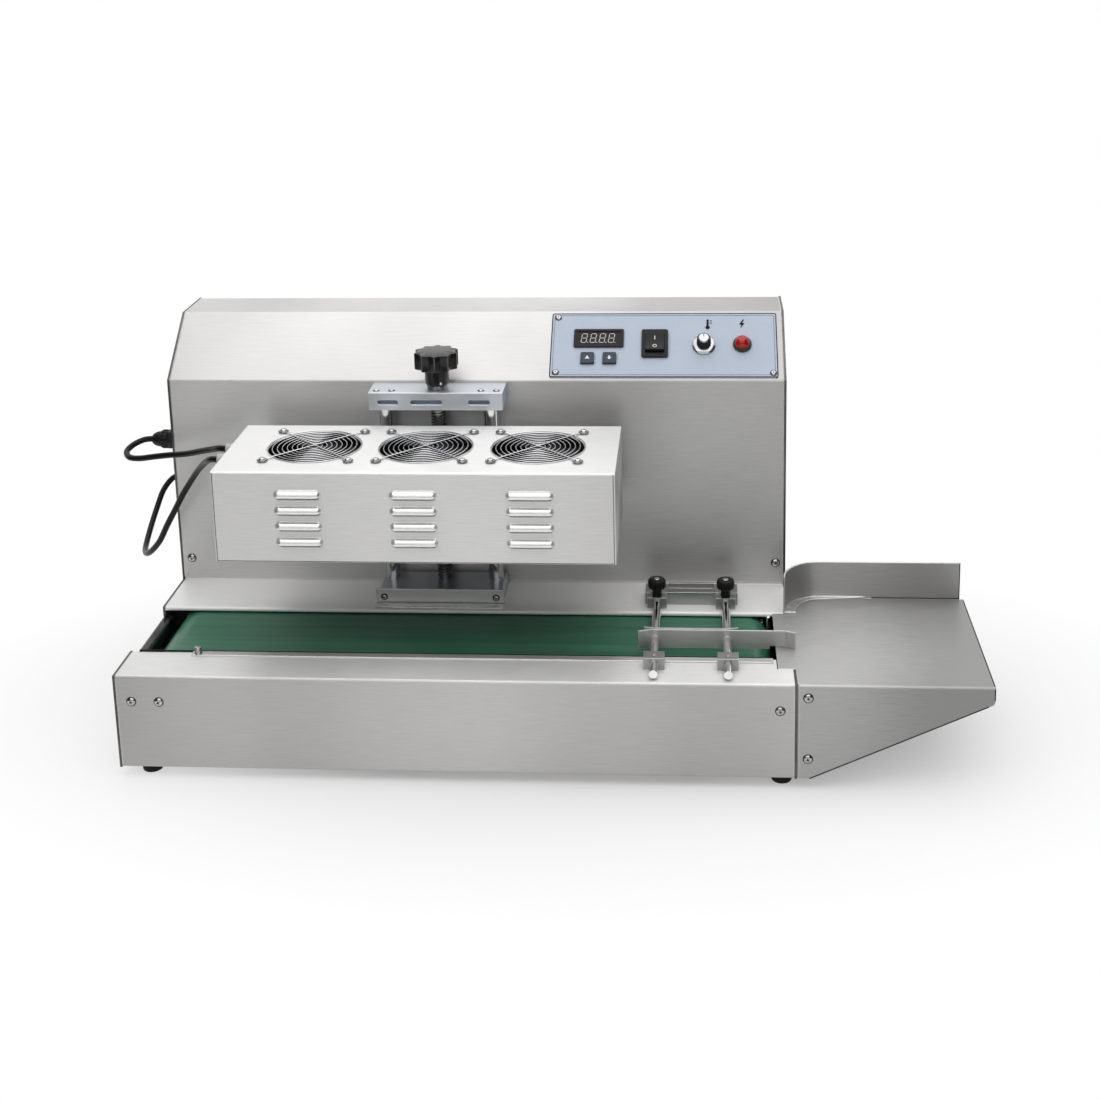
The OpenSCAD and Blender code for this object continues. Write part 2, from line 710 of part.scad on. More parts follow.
// Fans: frame with a spoked motor seat, and a rotor with a shaft in it
fan_seat_h = 3;
fan_hub_r = 20;
fan_pin_r = 3;
module fan_frames() placed() color("DimGray")
    for (x = fan_x) translate([x, fan_y, fan_z0]) difference() {
        linear_extrude(fan_t) round_rect(fan_w, fan_w, 6);
        difference() {
            translate([0, 0, -1]) cylinder(r = fan_bore / 2, h = fan_t + 2, $fn = 96);
            translate([0, 0, -2]) cylinder(r = fan_hub_r, h = fan_seat_h + 2);
            for (a = [0, 90])
                rotate(a + 20) translate([-fan_w / 2, -2, -2]) cube([fan_w, 4, fan_seat_h + 2]);
        }
        translate([0, 0, -1]) cylinder(r = fan_pin_r + run_fit, h = fan_seat_h + 2);
        for (i = [-1, 1], j = [-1, 1])
            translate([i * fan_hole_pitch / 2, j * fan_hole_pitch / 2, -1])
                cylinder(r = fan_head[2] + screw_slack, h = fan_t + 2);
    }

fan_blades = 7;
blade_pitch = 38;
module fan_rotor(x) translate([x, fan_y, fan_z0]) {
    low = fan_seat_h + 0.6;
    high = fan_t - 2;
    cylinder(r = fan_pin_r, h = low + 1);
    translate([0, 0, low]) cylinder(r = fan_hub_r, h = high - low);
    intersection() {
        for (k = [0:fan_blades - 1])
            rotate(k * 360 / fan_blades) translate([fan_hub_r - 2, 0, (low + high) / 2])
                rotate([blade_pitch, 0, 0]) translate([0, -15, -0.9]) cube([fan_bore, 30, 1.8]);
        translate([0, 0, low]) cylinder(r = fan_bore / 2 - 2, h = high - low, $fn = 96);
    }
}
module fan_rotor_1() placed() color("Black") fan_rotor(fan_x[0]);
module fan_rotor_2() placed() color("Black") fan_rotor(fan_x[1]);
module fan_rotor_3() placed() color("Black") fan_rotor(fan_x[2]);

// Finger guards: rings on two crossed wires that end in eyes under the fan screws
eye_r = 5;
guard_rim = 0.5;
guard_r = fan_hole_pitch / 2 + eye_r + guard_rim;
guard_step = guard_r / (guard_rings + 0.5);
module fan_guards() placed() color("LightGray")
    for (x = fan_x) translate([x, fan_y, head_z1]) {
        reach = fan_hole_pitch / sqrt(2) - eye_r + 1;
        for (a = [45, 135])
            rotate(a) translate([-reach, 0, guard_seat / 2]) rotate([0, 90, 0])
                cylinder(r = guard_seat / 2, h = 2 * reach, $fn = 24);
        for (i = [-1, 1], j = [-1, 1])
            translate([i * fan_hole_pitch / 2, j * fan_hole_pitch / 2, 0])
                tube(eye_r, fan_head[2] + screw_slack, guard_seat);
        for (k = [1:guard_rings])
            translate([0, 0, guard_seat + wire_d * 0.3])
                rotate_extrude($fn = 72)
                    translate([k * guard_step + guard_step / 2, 0]) circle(wire_d / 2, $fn = 16);
    }
module fan_screws() placed() color("LightGray")
    for (p = fan_corners)
        translate([p[0], p[1], head_z1 + guard_seat]) pan_screw(fan_head);

// Coil tray that closes the cover from below, with ferrite bars across its coil
module coil_tray() placed() color("DarkSlateGray") {
    gap = sheet_t + air;
    size = [head_len - 2 * gap, head_depth - 2 * gap, tray_h];
    wall = 5;
    translate([head_x0 + gap, head_y0 + gap, tray_z]) {
        difference() {
            cube(size);
            translate([wall, wall, wall]) cube([size[0] - 2 * wall, size[1] - 2 * wall, tray_h]);
        }
        for (i = [1:9])
            translate([i * size[0] / 10 - 10, wall - 1, coil_h + 7.5]) cube([20, size[1] - 2 * wall + 2, 9]);
    }
}

// Flat racetrack winding of litz cable
coil_turns = 5;
coil_h = 8;
coil_len = 430;
coil_w = 140;
coil_pitch = 20;
coil_space = 18;
coil_lead = [12, 49];
coil_lead_at = [-20, 20];
module racetrack(length, w, h) linear_extrude(h) slot_shape(length, w);
module induction_coil() placed() color("Peru")
    translate([head_x0 + head_len / 2, (head_y0 + head_y1) / 2, tray_z + 5]) {
        for (k = [0:coil_turns - 1]) difference() {
            racetrack(coil_len - k * coil_pitch, coil_w - k * coil_pitch, coil_h);
            translate([0, 0, -1])
                racetrack(coil_len - k * coil_pitch - coil_space, coil_w - k * coil_pitch - coil_space,
                    coil_h + 2);
        }
        translate([coil_lead_at[0], coil_lead_at[1], 0]) cube([coil_lead[0], coil_lead[1], coil_h - 2]);
    }

// Carriage on the cover's back, with bronze bushes on the rods and a nut on the screw
module carriage_axes() {
    for (x = rod_x)
        translate([x, column_y, 0]) children(0);
    translate([column_x, column_y, 0]) children(1);
}
module head_carriage() placed() color("LightGray") difference() {
    translate([column_x - carriage_w / 2, head_y1, carriage_z])
        cube([carriage_w, carriage_front + carriage_back, carriage_h]);
    translate([0, 0, carriage_z - 1]) carriage_axes() {
        cylinder(r = rod_d / 2 + bush_wall + run_fit, h = carriage_h + 2);
        cylinder(r = nut_r + run_fit, h = carriage_h + 2);
    }
}
module rod_bushes() placed() color("DarkGoldenrod")
    for (x = rod_x, z = [carriage_z, carriage_z + carriage_h - 20])
        translate([x, column_y, z]) tube(rod_d / 2 + bush_wall, rod_d / 2 + run_fit, 20);
module lift_nut() placed() color("DarkGoldenrod")
    translate([column_x, column_y, carriage_z]) tube(nut_r, screw_d / 2 + run_fit, carriage_h);

module head_glands() placed() color("WhiteSmoke")
    for (y = head_gland_y) facing_left(head_x0, y, head_gland_z) {
        cylinder(r = cable_d / 2 + 4.5, h = 3);
        cylinder(r = cable_d / 2 + 3.2, h = head_gland_len);
    }

// Lift column
slot_at = [[-62, 27], [-12, 41], [56, 28]];
module top_bracket() placed() color("LightSteelBlue") difference() {
    translate([column_x - bracket_w / 2, tower_y - bracket_d, bracket_z0])
        cube([bracket_w, bracket_d, bracket_h]);
    translate([0, 0, bracket_z0 - 1]) carriage_axes() {
        cylinder(r = rod_d / 2 + run_fit, h = bracket_h - 5);
        cylinder(r = journal_d / 2 + run_fit, h = bracket_h + 2);
    }
    for (s = slot_at)
        translate([column_x + s[0], 0, bracket_z0 + bracket_h * 0.45])
            along_y(tower_y - bracket_d - 1, 7) slot_shape(s[1], 6);
    for (side = [-1, 1], x = bracket_screw_x)
        translate([column_x + side * x, column_y - 11, bracket_z1]) screw_hole(small_head);
}

foot_screw_z = deck_z + 10;
module foot_bracket() placed() color("Silver") difference() {
    along_x(column_x - foot_bracket_w / 2, foot_bracket_w)
        sheet_section([[tower_y - bend_r, deck_z], [foot_y0, deck_z], [foot_y0, deck_z + foot_bracket_h]],
            -foot_sheet_t, foot_sheet_t + 1);
    for (side = [-1, 1])
        facing_front(column_x + side * (foot_bracket_w / 2 - foot_screw_in), foot_y0, foot_screw_z)
            screw_hole(small_head);
}
module foot_block() placed() color("DimGray") difference() {
    corner = 1.2;
    translate([column_x - foot_bracket_w / 2 + 3, foot_y0 + foot_sheet_t, foot_block_z0])
        cube([foot_bracket_w - 6, foot_bracket_d - foot_sheet_t - 6, foot_block_h]);
    translate([0, 0, foot_block_z0 - 1]) carriage_axes() {
        cylinder(r = rod_d / 2 + run_fit, h = foot_block_h + 2);
        cylinder(r = journal_d / 2 + run_fit, h = foot_block_h + 2);
    }
    for (side = [-1, 1])
        facing_front(column_x + side * (foot_bracket_w / 2 - foot_screw_in), foot_y0, foot_screw_z)
            screw_hole(small_head);
    translate([column_x - foot_bracket_w / 2, foot_y0, foot_block_z0 - 1])
        cube([foot_bracket_w, foot_sheet_t + corner, corner + 1]);
}
module column_rods() placed() color("Gainsboro")
    for (x = rod_x)
        translate([x, column_y, foot_block_z0]) cylinder(r = rod_d / 2, h = bracket_z1 - 7 - foot_block_z0);

// Lead screw with ring grooves for its thread, journals at both ends and a thrust collar
thread_depth = 1.4;
thread_z0 = foot_block_z1 + air;
thread_z1 = bracket_z0 - air;
thread_turns = floor((thread_z1 - thread_z0) / screw_lead);
function thread_line() = [for (i = [0:thread_turns - 1]) each [
    [screw_d / 2, thread_z0 + i * screw_lead],
    [screw_d / 2, thread_z0 + (i + 0.4) * screw_lead],
    [screw_d / 2 - thread_depth, thread_z0 + (i + 0.55) * screw_lead],
    [screw_d / 2 - thread_depth, thread_z0 + (i + 0.85) * screw_lead]]];
module lead_screw() placed() color("Gainsboro") translate([column_x, column_y, 0]) {
    rotate_extrude() polygon(concat([[0, thread_z0]], thread_line(),
        [[screw_d / 2, thread_z0 + thread_turns * screw_lead], [screw_d / 2, thread_z1], [0, thread_z1]]));
    translate([0, 0, foot_block_z0]) cylinder(r = journal_d / 2, h = thread_z0 - foot_block_z0 + 1);
    translate([0, 0, thread_z1 - 1]) cylinder(r = journal_d / 2, h = knob_z + journal_in_knob - thread_z1);
    translate([0, 0, bracket_z1 + air]) cylinder(r = journal_d / 2 + 6.4, h = collar_h);
}
module lift_knob() placed() color("DimGray") translate([column_x, column_y, knob_z]) difference() {
    r = knob_d / 2;
    union() {
        cylinder(r = knob_hub_r, h = knob_hub_h + 1);
        translate([0, 0, knob_hub_h]) difference() {
            rotate_extrude() polygon([[0, 0], [r - 4, 0], [r, 3], [r, knob_h - 5], [r - 3, knob_h - 1.4],
                [r - 9, knob_h], [0, knob_h]]);
            for (k = [0:knob_lobes - 1])
                rotate((k + 0.5) * 360 / knob_lobes)
                    translate([r + 1.6, 0, -1]) cylinder(r = 5.2, h = knob_h + 2);
        }
    }
    translate([0, 0, -1]) cylinder(r = journal_d / 2 + run_fit, h = 15);
}

// Control panel and its devices, drawn with +Z out of the sloping face
panel_mid = [panel_x0 + panel_w / 2, panel_low + panel_h / 2];
module on_panel(at) on_slope(at, panel_t) children();
dial_bush_r = 3;
lamp_neck_r = 8;
module control_panel() placed() color("LightSlateGray") {
    difference() {
        on_slope(panel_mid) linear_extrude(panel_t) round_rect(panel_w, panel_h, 6);
        on_panel(display_at) cube([display_w - 3, display_h - 3, 4 * panel_t], center = true);
        for (p = button_at)
            on_panel(p) cube([button_w + 2 * air, button_w - 1 + 2 * air, 4 * panel_t], center = true);
        on_panel(switch_at) cube([switch_w - 4, switch_h - 4, 4 * panel_t], center = true);
        on_panel(dial_at) cylinder(r = dial_bush_r + run_fit, h = 20, center = true);
        on_panel(lamp_at) cylinder(r = lamp_neck_r + screw_slack, h = 20, center = true);
        for (s = panel_screws)
            on_panel(s) screw_hole(small_head);
    }
    on_slope(dial_at, -16) tube(12, dial_bush_r + run_fit, 16.2);
}
module display_module() placed() color("Black") on_panel(display_at) difference() {
    union() {
        linear_extrude(2.6) round_rect(display_w, display_h, 2);
        translate([0, 0, -8]) cube([display_w - 3.4, display_h - 3.4, 17], center = true);
    }
    translate([0, 0, 2.2]) cube([display_w - 8, display_h - 7, 1.4], center = true);
}

module push_button(at) on_panel(at) {
    translate([0, 0, -panel_t - 0.8]) linear_extrude(panel_t + 4.8) round_rect(button_w, button_w - 1, 2);
    translate([0, 0, -panel_t - button_travel - 0.5])
        linear_extrude(1.6) round_rect(button_w + 3, button_w + 2, 2);
}
module up_button() placed() color("DarkSlateGray") push_button(button_at[0]);
module down_button() placed() color("DarkSlateGray") push_button(button_at[1]);

rocker_axis_h = 1;
rocker_pin_r = 1.5;
module switch_housing() placed() color("Black") on_panel(switch_at) difference() {
    hole = [rocker_w + 2 * air, rocker_len + 2 * rocker_air];
    union() {
        linear_extrude(3.4) round_rect(switch_w, switch_h, 3);
        translate([0, 0, -11]) cube([switch_w - 4.6, switch_h - 4.6, 23], center = true);
    }
    translate([-hole[0] / 2, -hole[1] / 2, -9]) cube([hole[0], hole[1], 20]);
    translate([0, 0, rocker_axis_h]) rotate([0, 90, 0])
        cylinder(r = rocker_pin_r + run_fit, h = rocker_w + 4, center = true);
}
module switch_rocker() placed() color("Black") on_panel(switch_at) translate([0, 0, rocker_axis_h]) {
    rotate([rocker_tilt, 0, 0]) translate([-rocker_w / 2, 0, 0]) rotate([90, 0, 90]) linear_extrude(rocker_w)
        polygon([[-rocker_len / 2, -3], [-rocker_len / 2, 5.6], [0, 3.6], [rocker_len / 2, 5.6],
            [rocker_len / 2, -3]]);
    rotate([0, 90, 0]) cylinder(r = rocker_pin_r, h = rocker_w + 3, center = true);
}

dial_ribs = 24;
module dial_knob() placed() color("Silver") on_panel(dial_at) {
    r = dial_d / 2;
    translate([0, 0, -12]) cylinder(r = dial_bush_r, h = 14);
    translate([0, 0, air]) rotate_extrude()
        polygon([[0, 0], [dial_skirt_d / 2, 0], [dial_skirt_d / 2, 1.4], [r + 1, 3], [0, 3]]);
    difference() {
        translate([0, 0, 2]) cylinder(r = r, h = 15);
        for (k = [0:dial_ribs - 1])
            rotate(k * 360 / dial_ribs) translate([r + 0.5, 0, 4]) cylinder(r = 0.9, h = 20, $fn = 16);
    }
    translate([0, 0, 16]) cylinder(r = r - 2.2, h = 1.8);
}
module indicator_lamp() placed() color("FireBrick") on_panel(lamp_at) {
    translate([0, 0, -16]) cylinder(r = lamp_neck_r, h = 18);
    rotate_extrude() polygon([[0, 0], [lamp_d / 2, 0], [lamp_d / 2, 2.6], [lamp_d / 2 - 1.4, 4.4], [0, 4.4]]);
    difference() {
        translate([0, 0, 4.4]) sphere(r = lamp_d / 2 - 3.2);
        translate([0, 0, -46]) cube([100, 100, 100], center = true);
    }
}

// Bottle guides: each plate rides on two rods that slide in blocks on the deck
flare = 12;
module guide_plate(x, y, length, z0, z1, lean)
    translate([0, 0, z0]) linear_extrude(z1 - z0)
        sheet_section([[x, y - lean], [x + flare, y], [x + length - flare, y], [x + length, y - lean]],
            guide_t, guide_t + 4);
module guide_rods(y, length)
    for (x = guide_x)
        translate([x, y, guide_z]) rotate([-90, 0, 0]) cylinder(r = guide_rod_r, h = length);
module guide_bores(y, length)
    for (x = guide_x)
        translate([x, y, guide_z]) rotate([-90, 0, 0]) cylinder(r = guide_rod_r + run_fit, h = length);

guide_low = 4;
module front_guide() placed() color("Gainsboro") {
    z0 = belt_top + guide_low;
    difference() {
        guide_plate(guide_plate_x, front_plate_y, guide_plate_w, z0, z0 + guide_plate_h, 5);
        translate([base_len - tongue_len - 6, front_plate_y - 20, z0 - 1])
            cube([guide_plate_w, 40, deck_z + 1 - z0 + 1]);
    }
    guide_rods(8, front_plate_y + 0.5 - 8);
}
module rear_guide() placed() color("Gainsboro") {
    z0 = belt_top + guide_low;
    guide_plate(guide_x[0] - 14, rear_plate_y, guide_pitch + 28, z0, guide_z + guide_rod_r, -3);
    guide_rods(rear_plate_y + guide_t - 0.5, rear_block_y + 26 - rear_plate_y - guide_t + 0.5);
}
module front_guide_blocks() placed() color("Silver") difference() {
    for (x = guide_x) {
        translate([x - guide_block_w / 2, front_block_y, deck_z])
            cube([guide_block_w, front_block_d, guide_block_h]);
        translate([x, front_block_y + front_block_d / 2, deck_z + guide_block_h - 0.5])
            cylinder(r = 2.5, h = 2);
    }
    guide_bores(front_block_y - 1, front_block_d + 2);
}
module rear_guide_base() placed() color("Silver") difference() {
    union() {
        for (x = guide_x)
            translate([x - guide_block_w / 2, rear_block_y, deck_z])
                cube([guide_block_w, rear_block_d, guide_block_h]);
        translate([guide_x[0] - guide_block_w / 2 - 3, rear_block_y + 13, deck_z])
            cube([guide_pitch + guide_block_w + 6, rear_block_d - 13, guide_block_h + 2]);
        translate([guide_x[0] + guide_block_w / 2 + 2, rear_block_y + 26, deck_z])
            cube([guide_pitch - guide_block_w - 4, 3, guide_block_h + 9]);
    }
    guide_bores(rear_block_y - 1, rear_block_d + 2);
    for (x = guide_x)
        translate([x, rear_block_y + 5, guide_z]) cylinder(r = stud_r + run_fit, h = 30);
}
module guide_knob(x) translate([x, rear_block_y + 5, 0]) {
    seat = deck_z + guide_block_h;
    difference() {
        translate([0, 0, seat + 13]) rotate_extrude()
            polygon([[0, 0], [thumb_d / 2 - 1, 0], [thumb_d / 2, 1], [thumb_d / 2, 10],
                [thumb_d / 2 - 2, 12], [0, 12]]);
        for (k = [0:11])
            rotate(k * 30)
                translate([thumb_d / 2 + 0.6, 0, seat + 12]) cylinder(r = 1.6, h = 14, $fn = 16);
    }
    translate([0, 0, seat + air]) cylinder(r = 6, h = 13);
    translate([0, 0, guide_z + guide_rod_r + air]) cylinder(r = stud_r, h = seat + 2 - guide_z - guide_rod_r);
}
module guide_knob_left() placed() color("DimGray") guide_knob(guide_x[0]);
module guide_knob_right() placed() color("DimGray") guide_knob(guide_x[1]);

// Outfeed table: a folded top with tapering aprons, and a tongue up to the belt's end
table_gap = 1.5;
table_x = base_len + table_gap;
table_taper = 13;
table_corner_r = 6;
module table() placed() color("Silver") {
    end_x = base_len + table_len;
    difference() {
        along_x(table_x, table_len - table_gap)
            sheet_section([[0, foot_h], [0, deck_z], [table_d, deck_z], [table_d, foot_h]], -sheet_t);
        along_y(-1, table_d + 2)
            polygon(concat([[table_x + table_taper, foot_h - 1]],
                face_line([[table_x + table_taper, foot_h], [end_x, deck_z - table_edge],
                    [end_x, deck_z - 5]], table_corner_r, 0),
                [[end_x + 1, deck_z - 5], [end_x + 1, foot_h - 1]]));
        for (s = table_screws)
            facing_front(base_len + s[0], 0, deck_z - s[1]) screw_hole(screw_head);
    }
    translate([end_x - sheet_t, sheet_t / 2, deck_z - table_edge + table_corner_r])
        cube([sheet_t, table_d - sheet_t, table_edge - table_corner_r - sheet_t / 2]);
    translate([base_len, sheet_t / 2, foot_h]) cube([sheet_t, table_d - sheet_t, notch_z - foot_h]);
    translate([base_len, sheet_t / 2, deck_z - end_notch - 1])
        cube([sheet_t, tongue_y - sheet_t, end_notch + 1 - sheet_t]);
    translate([base_len, ledge_y, deck_z - end_notch - 1])
        cube([sheet_t, table_d - ledge_y - sheet_t, end_notch + 1 - sheet_t]);
    translate([base_len, sheet_t / 2 + 2, deck_z - sheet_t]) cube([bend_r, table_d - sheet_t - 4, sheet_t]);
    translate([base_len - tongue_len + 1, tongue_y + air, deck_z - sheet_t])
        cube([tongue_len + 2, ledge_y - tongue_y - 2 * air, sheet_t]);
}

fence_x = base_len + 43;
fence_end = overall_len - fence_right;
fence_y = table_d - sheet_t;
foot_taper_len = 65;
foot_w = 15;
fence_mid = [fence_x, fence_y - fence_r + sheet_t];
fence_steps = 18;
function fence_point(r, k) =
    fence_mid + r * [-cos(90 * k / fence_steps), sin(90 * k / fence_steps)];
module table_fence() placed() color("Silver") {
    inner = fence_r - sheet_t + 0.5;
    translate([0, 0, deck_z]) linear_extrude(fence_h) difference() {
        union() {
            translate(fence_mid) intersection() {
                circle(fence_r, $fn = 96);
                translate([-fence_r, 0]) square(fence_r);
            }
            translate([fence_x, fence_y]) square([fence_end - fence_x, sheet_t]);
        }
        translate(fence_mid) circle(fence_r - sheet_t, $fn = 96);
    }
    translate([0, 0, deck_z]) linear_extrude(sheet_t)
        polygon(concat([for (k = [0:fence_steps]) fence_point(inner, k)],
            [[fence_x + foot_taper_len, fence_y + 0.5]],
            [for (k = [fence_steps:-1:0]) fence_point(inner - foot_w * (1 - 0.5 * k / fence_steps), k)]));
}

// Cables and the glands on the tower's left wall
module tower_glands() placed() color("DimGray")
    for (i = [0, 1]) facing_left(0, gland_y[i], gland_z[i]) {
        cylinder(r = 13.5, h = 3);
        translate([0, 0, 3]) cylinder(r = 13.6, h = 9, $fn = 6);
        translate([0, 0, 12]) cylinder(r1 = 12, r2 = 10.5, h = 12);
        translate([0, 0, 24]) cylinder(r1 = 10.5, r2 = cable_d / 2 + 2, h = gland_len - 24);
        translate([0, 0, -side_t - 6]) cylinder(r = gland_hole_r - screw_slack, h = side_t + 7);
        translate([0, 0, -side_t - 5]) cylinder(r = 13, h = 5, $fn = 6);
    }

// A smooth run through a route's points, and a plain tube swept along it
cable_sides = 10;
function smooth_point(p, i, t) =
    let (n = len(p) - 1)
    let (a = p[max(i - 1, 0)], b = p[i], c = p[min(i + 1, n)], d = p[min(i + 2, n)])
    0.5 * (2 * b + (c - a) * t + (2 * a - 5 * b + 4 * c - d) * t * t + (3 * b - a - 3 * c + d) * t * t * t);
function smooth_run(p) =
    concat([for (i = [0:len(p) - 2], t = [0, 0.5]) smooth_point(p, i, t)], [p[len(p) - 1]]);
function run_dirs(p) =
    let (n = len(p) - 1)
    [for (i = [0:n]) i == 0 || i == n ? [i == 0 ? -1 : 1, 0, 0] : unit(p[i + 1] - p[i - 1])];
function carried(dirs, i, side, done) = i == len(dirs) ? done :
    let (s = unit(side - dirs[i] * (side * dirs[i])))
    carried(dirs, i + 1, s, concat(done, [s]));
module cable(route) {
    run = smooth_run(route);
    dirs = run_dirs(run);
    sides = carried(dirs, 0, [0, 0, 1], []);
    rings = len(run);
    k = cable_sides;
    points = [for (i = [0:rings - 1], j = [0:k - 1])
        run[i] + cable_d / 2 * (sides[i] * cos(360 * j / k) + cross(dirs[i], sides[i]) * sin(360 * j / k))];
    walls = [for (i = [0:rings - 2], j = [0:k - 1])
        [i * k + j, (i + 1) * k + j, (i + 1) * k + (j + 1) % k, i * k + (j + 1) % k]];
    first = [for (j = [0:k - 1]) j];
    last = [for (j = [k - 1:-1:0]) (rings - 1) * k + j];
    polyhedron(points, concat([first], walls, [last]), convexity = 6);
}
module upper_cable() placed() color("DimGray") cable(upper_route);
module lower_cable() placed() color("DimGray") cable(lower_route);

// Power unit on the floor of the tower: heat sink, drive board and transformer on one plate
module_x = 110;
module_in = 24;
module_size = [200, 115];
module_plate_t = 6;
module_wing = 120;
fin_t = 3;
fin_h = 45;
fin_pitch = 14;
board_z = 69;
board_t = 2;
post_r = 4;
post_in = 6;
can_r = 16;
can_h = 42;
can_pitch = 42;
choke = [70, 70, 60];
choke_coil = [90, 40, 40];
module power_module() placed() color("DarkGray") translate([module_x, tower_y + module_in, floor_z]) {
    size = module_size;
    seat = module_plate_t - 1;
    cube([size[0] + module_wing, size[1], module_plate_t]);
    for (i = [0:11])
        translate([20 + i * fin_pitch, post_in, seat]) cube([fin_t, size[1] - 2 * post_in, fin_h]);
    for (x = [post_in, size[0] - post_in], y = [post_in, size[1] - post_in])
        translate([x, y, seat]) cylinder(r = post_r, h = board_z + 1 - seat);
    translate([0, 0, board_z]) cube([size[0], size[1], board_t]);
    for (i = [0:3])
        translate([can_pitch * (i + 5 / 6), size[1] / 2, board_z + board_t - 0.5])
            cylinder(r = can_r, h = can_h);
    translate([size[0] + 30, 20, seat]) cube(choke);
    translate([size[0] + 20, 35, seat + 10]) cube(choke_coil);
}

base_front_panel();
left_side_plate();
right_side_plate();
bottom_plate();
deck_ledge();
tower_cover();
rear_panel();
rubber_feet();
housing_screws();
belt_edge_strip();
belt_end_bar();
power_inlet();
conveyor_belt();
drive_roller();
idler_roller();
conveyor_rails();
belt_bed();
roller_bearings();
motor_pulley();
drive_belt();
gear_motor();
head_cover();
fan_frames();
fan_rotor_1();
fan_rotor_2();
fan_rotor_3();
fan_guards();
fan_screws();
coil_tray();
induction_coil();
head_carriage();
lift_nut();
rod_bushes();
head_glands();
top_bracket();
foot_block();
foot_bracket();
column_rods();
lead_screw();
lift_knob();
control_panel();
display_module();
up_button();
down_button();
switch_housing();
switch_rocker();
dial_knob();
indicator_lamp();
rear_guide_base();
front_guide_blocks();
front_guide();
rear_guide();
guide_knob_left();
guide_knob_right();
table();
table_fence();
tower_glands();
upper_cable();
lower_cable();
power_module();
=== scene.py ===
import math

import bmesh
import bpy
from mathutils import Matrix, Vector


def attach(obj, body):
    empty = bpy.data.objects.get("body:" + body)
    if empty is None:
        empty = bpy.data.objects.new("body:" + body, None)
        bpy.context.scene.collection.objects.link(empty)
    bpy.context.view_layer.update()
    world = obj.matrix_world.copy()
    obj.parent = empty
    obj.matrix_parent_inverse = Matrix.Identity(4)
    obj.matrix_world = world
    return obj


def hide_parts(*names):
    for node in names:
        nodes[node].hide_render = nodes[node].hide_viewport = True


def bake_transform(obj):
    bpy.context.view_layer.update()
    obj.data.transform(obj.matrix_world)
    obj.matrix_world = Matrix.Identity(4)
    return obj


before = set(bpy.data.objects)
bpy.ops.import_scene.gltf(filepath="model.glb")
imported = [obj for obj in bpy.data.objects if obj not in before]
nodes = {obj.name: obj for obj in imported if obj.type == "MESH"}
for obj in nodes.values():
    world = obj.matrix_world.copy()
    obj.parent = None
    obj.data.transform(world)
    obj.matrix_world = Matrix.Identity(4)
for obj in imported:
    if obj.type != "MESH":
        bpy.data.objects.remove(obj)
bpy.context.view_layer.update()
scene = bpy.context.scene
MM = 0.001

# Places on the machine, in millimetres from the left front corner of its base, on the floor
FRAME_ORIGIN = (521, 220, 0)
DECK_Z = 133
TOWER_FRONT_Y = 276
REAR_Y = 440
SLOPE_FOOT_Z = 416
SLOPE_ANGLE = 40
PANEL_THICK = 1.5
COLUMN_X, COLUMN_Y = 364.5, 254
COLLAR_TOP_Z = 419.3
BRACKET_SLOT_Y, BRACKET_SLOT_Z = (233.4, 262), (393, 410)
HEAD_FRONT_Y = 53
HEAD_TOP_Z = 372
FAN_X = (227, 366, 505)
FAN_Y = 142.5
FAN_SCREW_Z, ROTOR_Z = 374.16, 345
FAN_CORNERS = [(i * 52.5, j * 52.5) for i in (-1, 1) for j in (-1, 1)]
ROD_X = (647, 735)
ROD_REACH = 7
FRONT_RODS_Y, REAR_RODS_Y = 96, 124
THUMB_SEAT_Y, THUMB_SEAT_Z = 205, 148
FOOT_X, FOOT_Y = (33, 798), (22, 418)
TABLE_END_X = 1042
FENCE_FRONT_Y = 238
FENCE_END_X = 1037

# Places on the sloping panel, in millimetres along it and up the slope
PANEL_MIDDLE = (656, 55)
DISPLAY_X, DISPLAY_U = 570.5, 64.5
UP_KEY_X, DOWN_KEY_X, KEY_U = 556.3, 585.3, 32.8
SWITCH_AT = (644.5, 56)
DIAL_AT = (708.8, 54.5)
LAMP_AT = (759, 55)
THERMOMETER_AT = (714, 82.5)
BOLT_AT = (759, 88)


def machine(x, y, z):
    """A place on the machine in millimetres, as metres in the frame."""
    return Vector([(c - o) * MM for c, o in zip((x, y, z), FRAME_ORIGIN)])


def turning(degrees, axis):
    """A turn about one axis."""
    return Matrix.Rotation(math.radians(degrees), 4, axis)


def shifted(x, y, z):
    """A move in millimetres."""
    return Matrix.Translation((x * MM, y * MM, z * MM))


def around(count):
    """Equal turns about Z, all the way round."""
    return [Matrix.Rotation(k * 2 * math.pi / count, 4, "Z") for k in range(count)]


# Camera, in metres and degrees
CAMERA_PLACE = (0.1811, -1.9529, 1.0467)
CAMERA_PAN, CAMERA_TILT, CAMERA_ROLL = 4.102, -12.774, 1.187
camera_data = bpy.data.cameras.new("photo_camera")
camera = bpy.data.objects.new("photo_camera", camera_data)
scene.collection.objects.link(camera)
camera_turn = (
    turning(CAMERA_PAN, "Z")
    @ turning(CAMERA_TILT, "X")
    @ turning(CAMERA_ROLL, "Y")
    @ turning(90, "X")
)
camera.matrix_world = Matrix.Translation(CAMERA_PLACE) @ camera_turn
camera_data.sensor_width = 36
camera_data.lens = 52.995
camera_data.shift_x = -0.0318
camera_data.shift_y = -0.2727
camera_data.clip_start = 0.05
camera_data.clip_end = 40
scene.camera = camera
scene.view_settings.view_transform = "Standard"


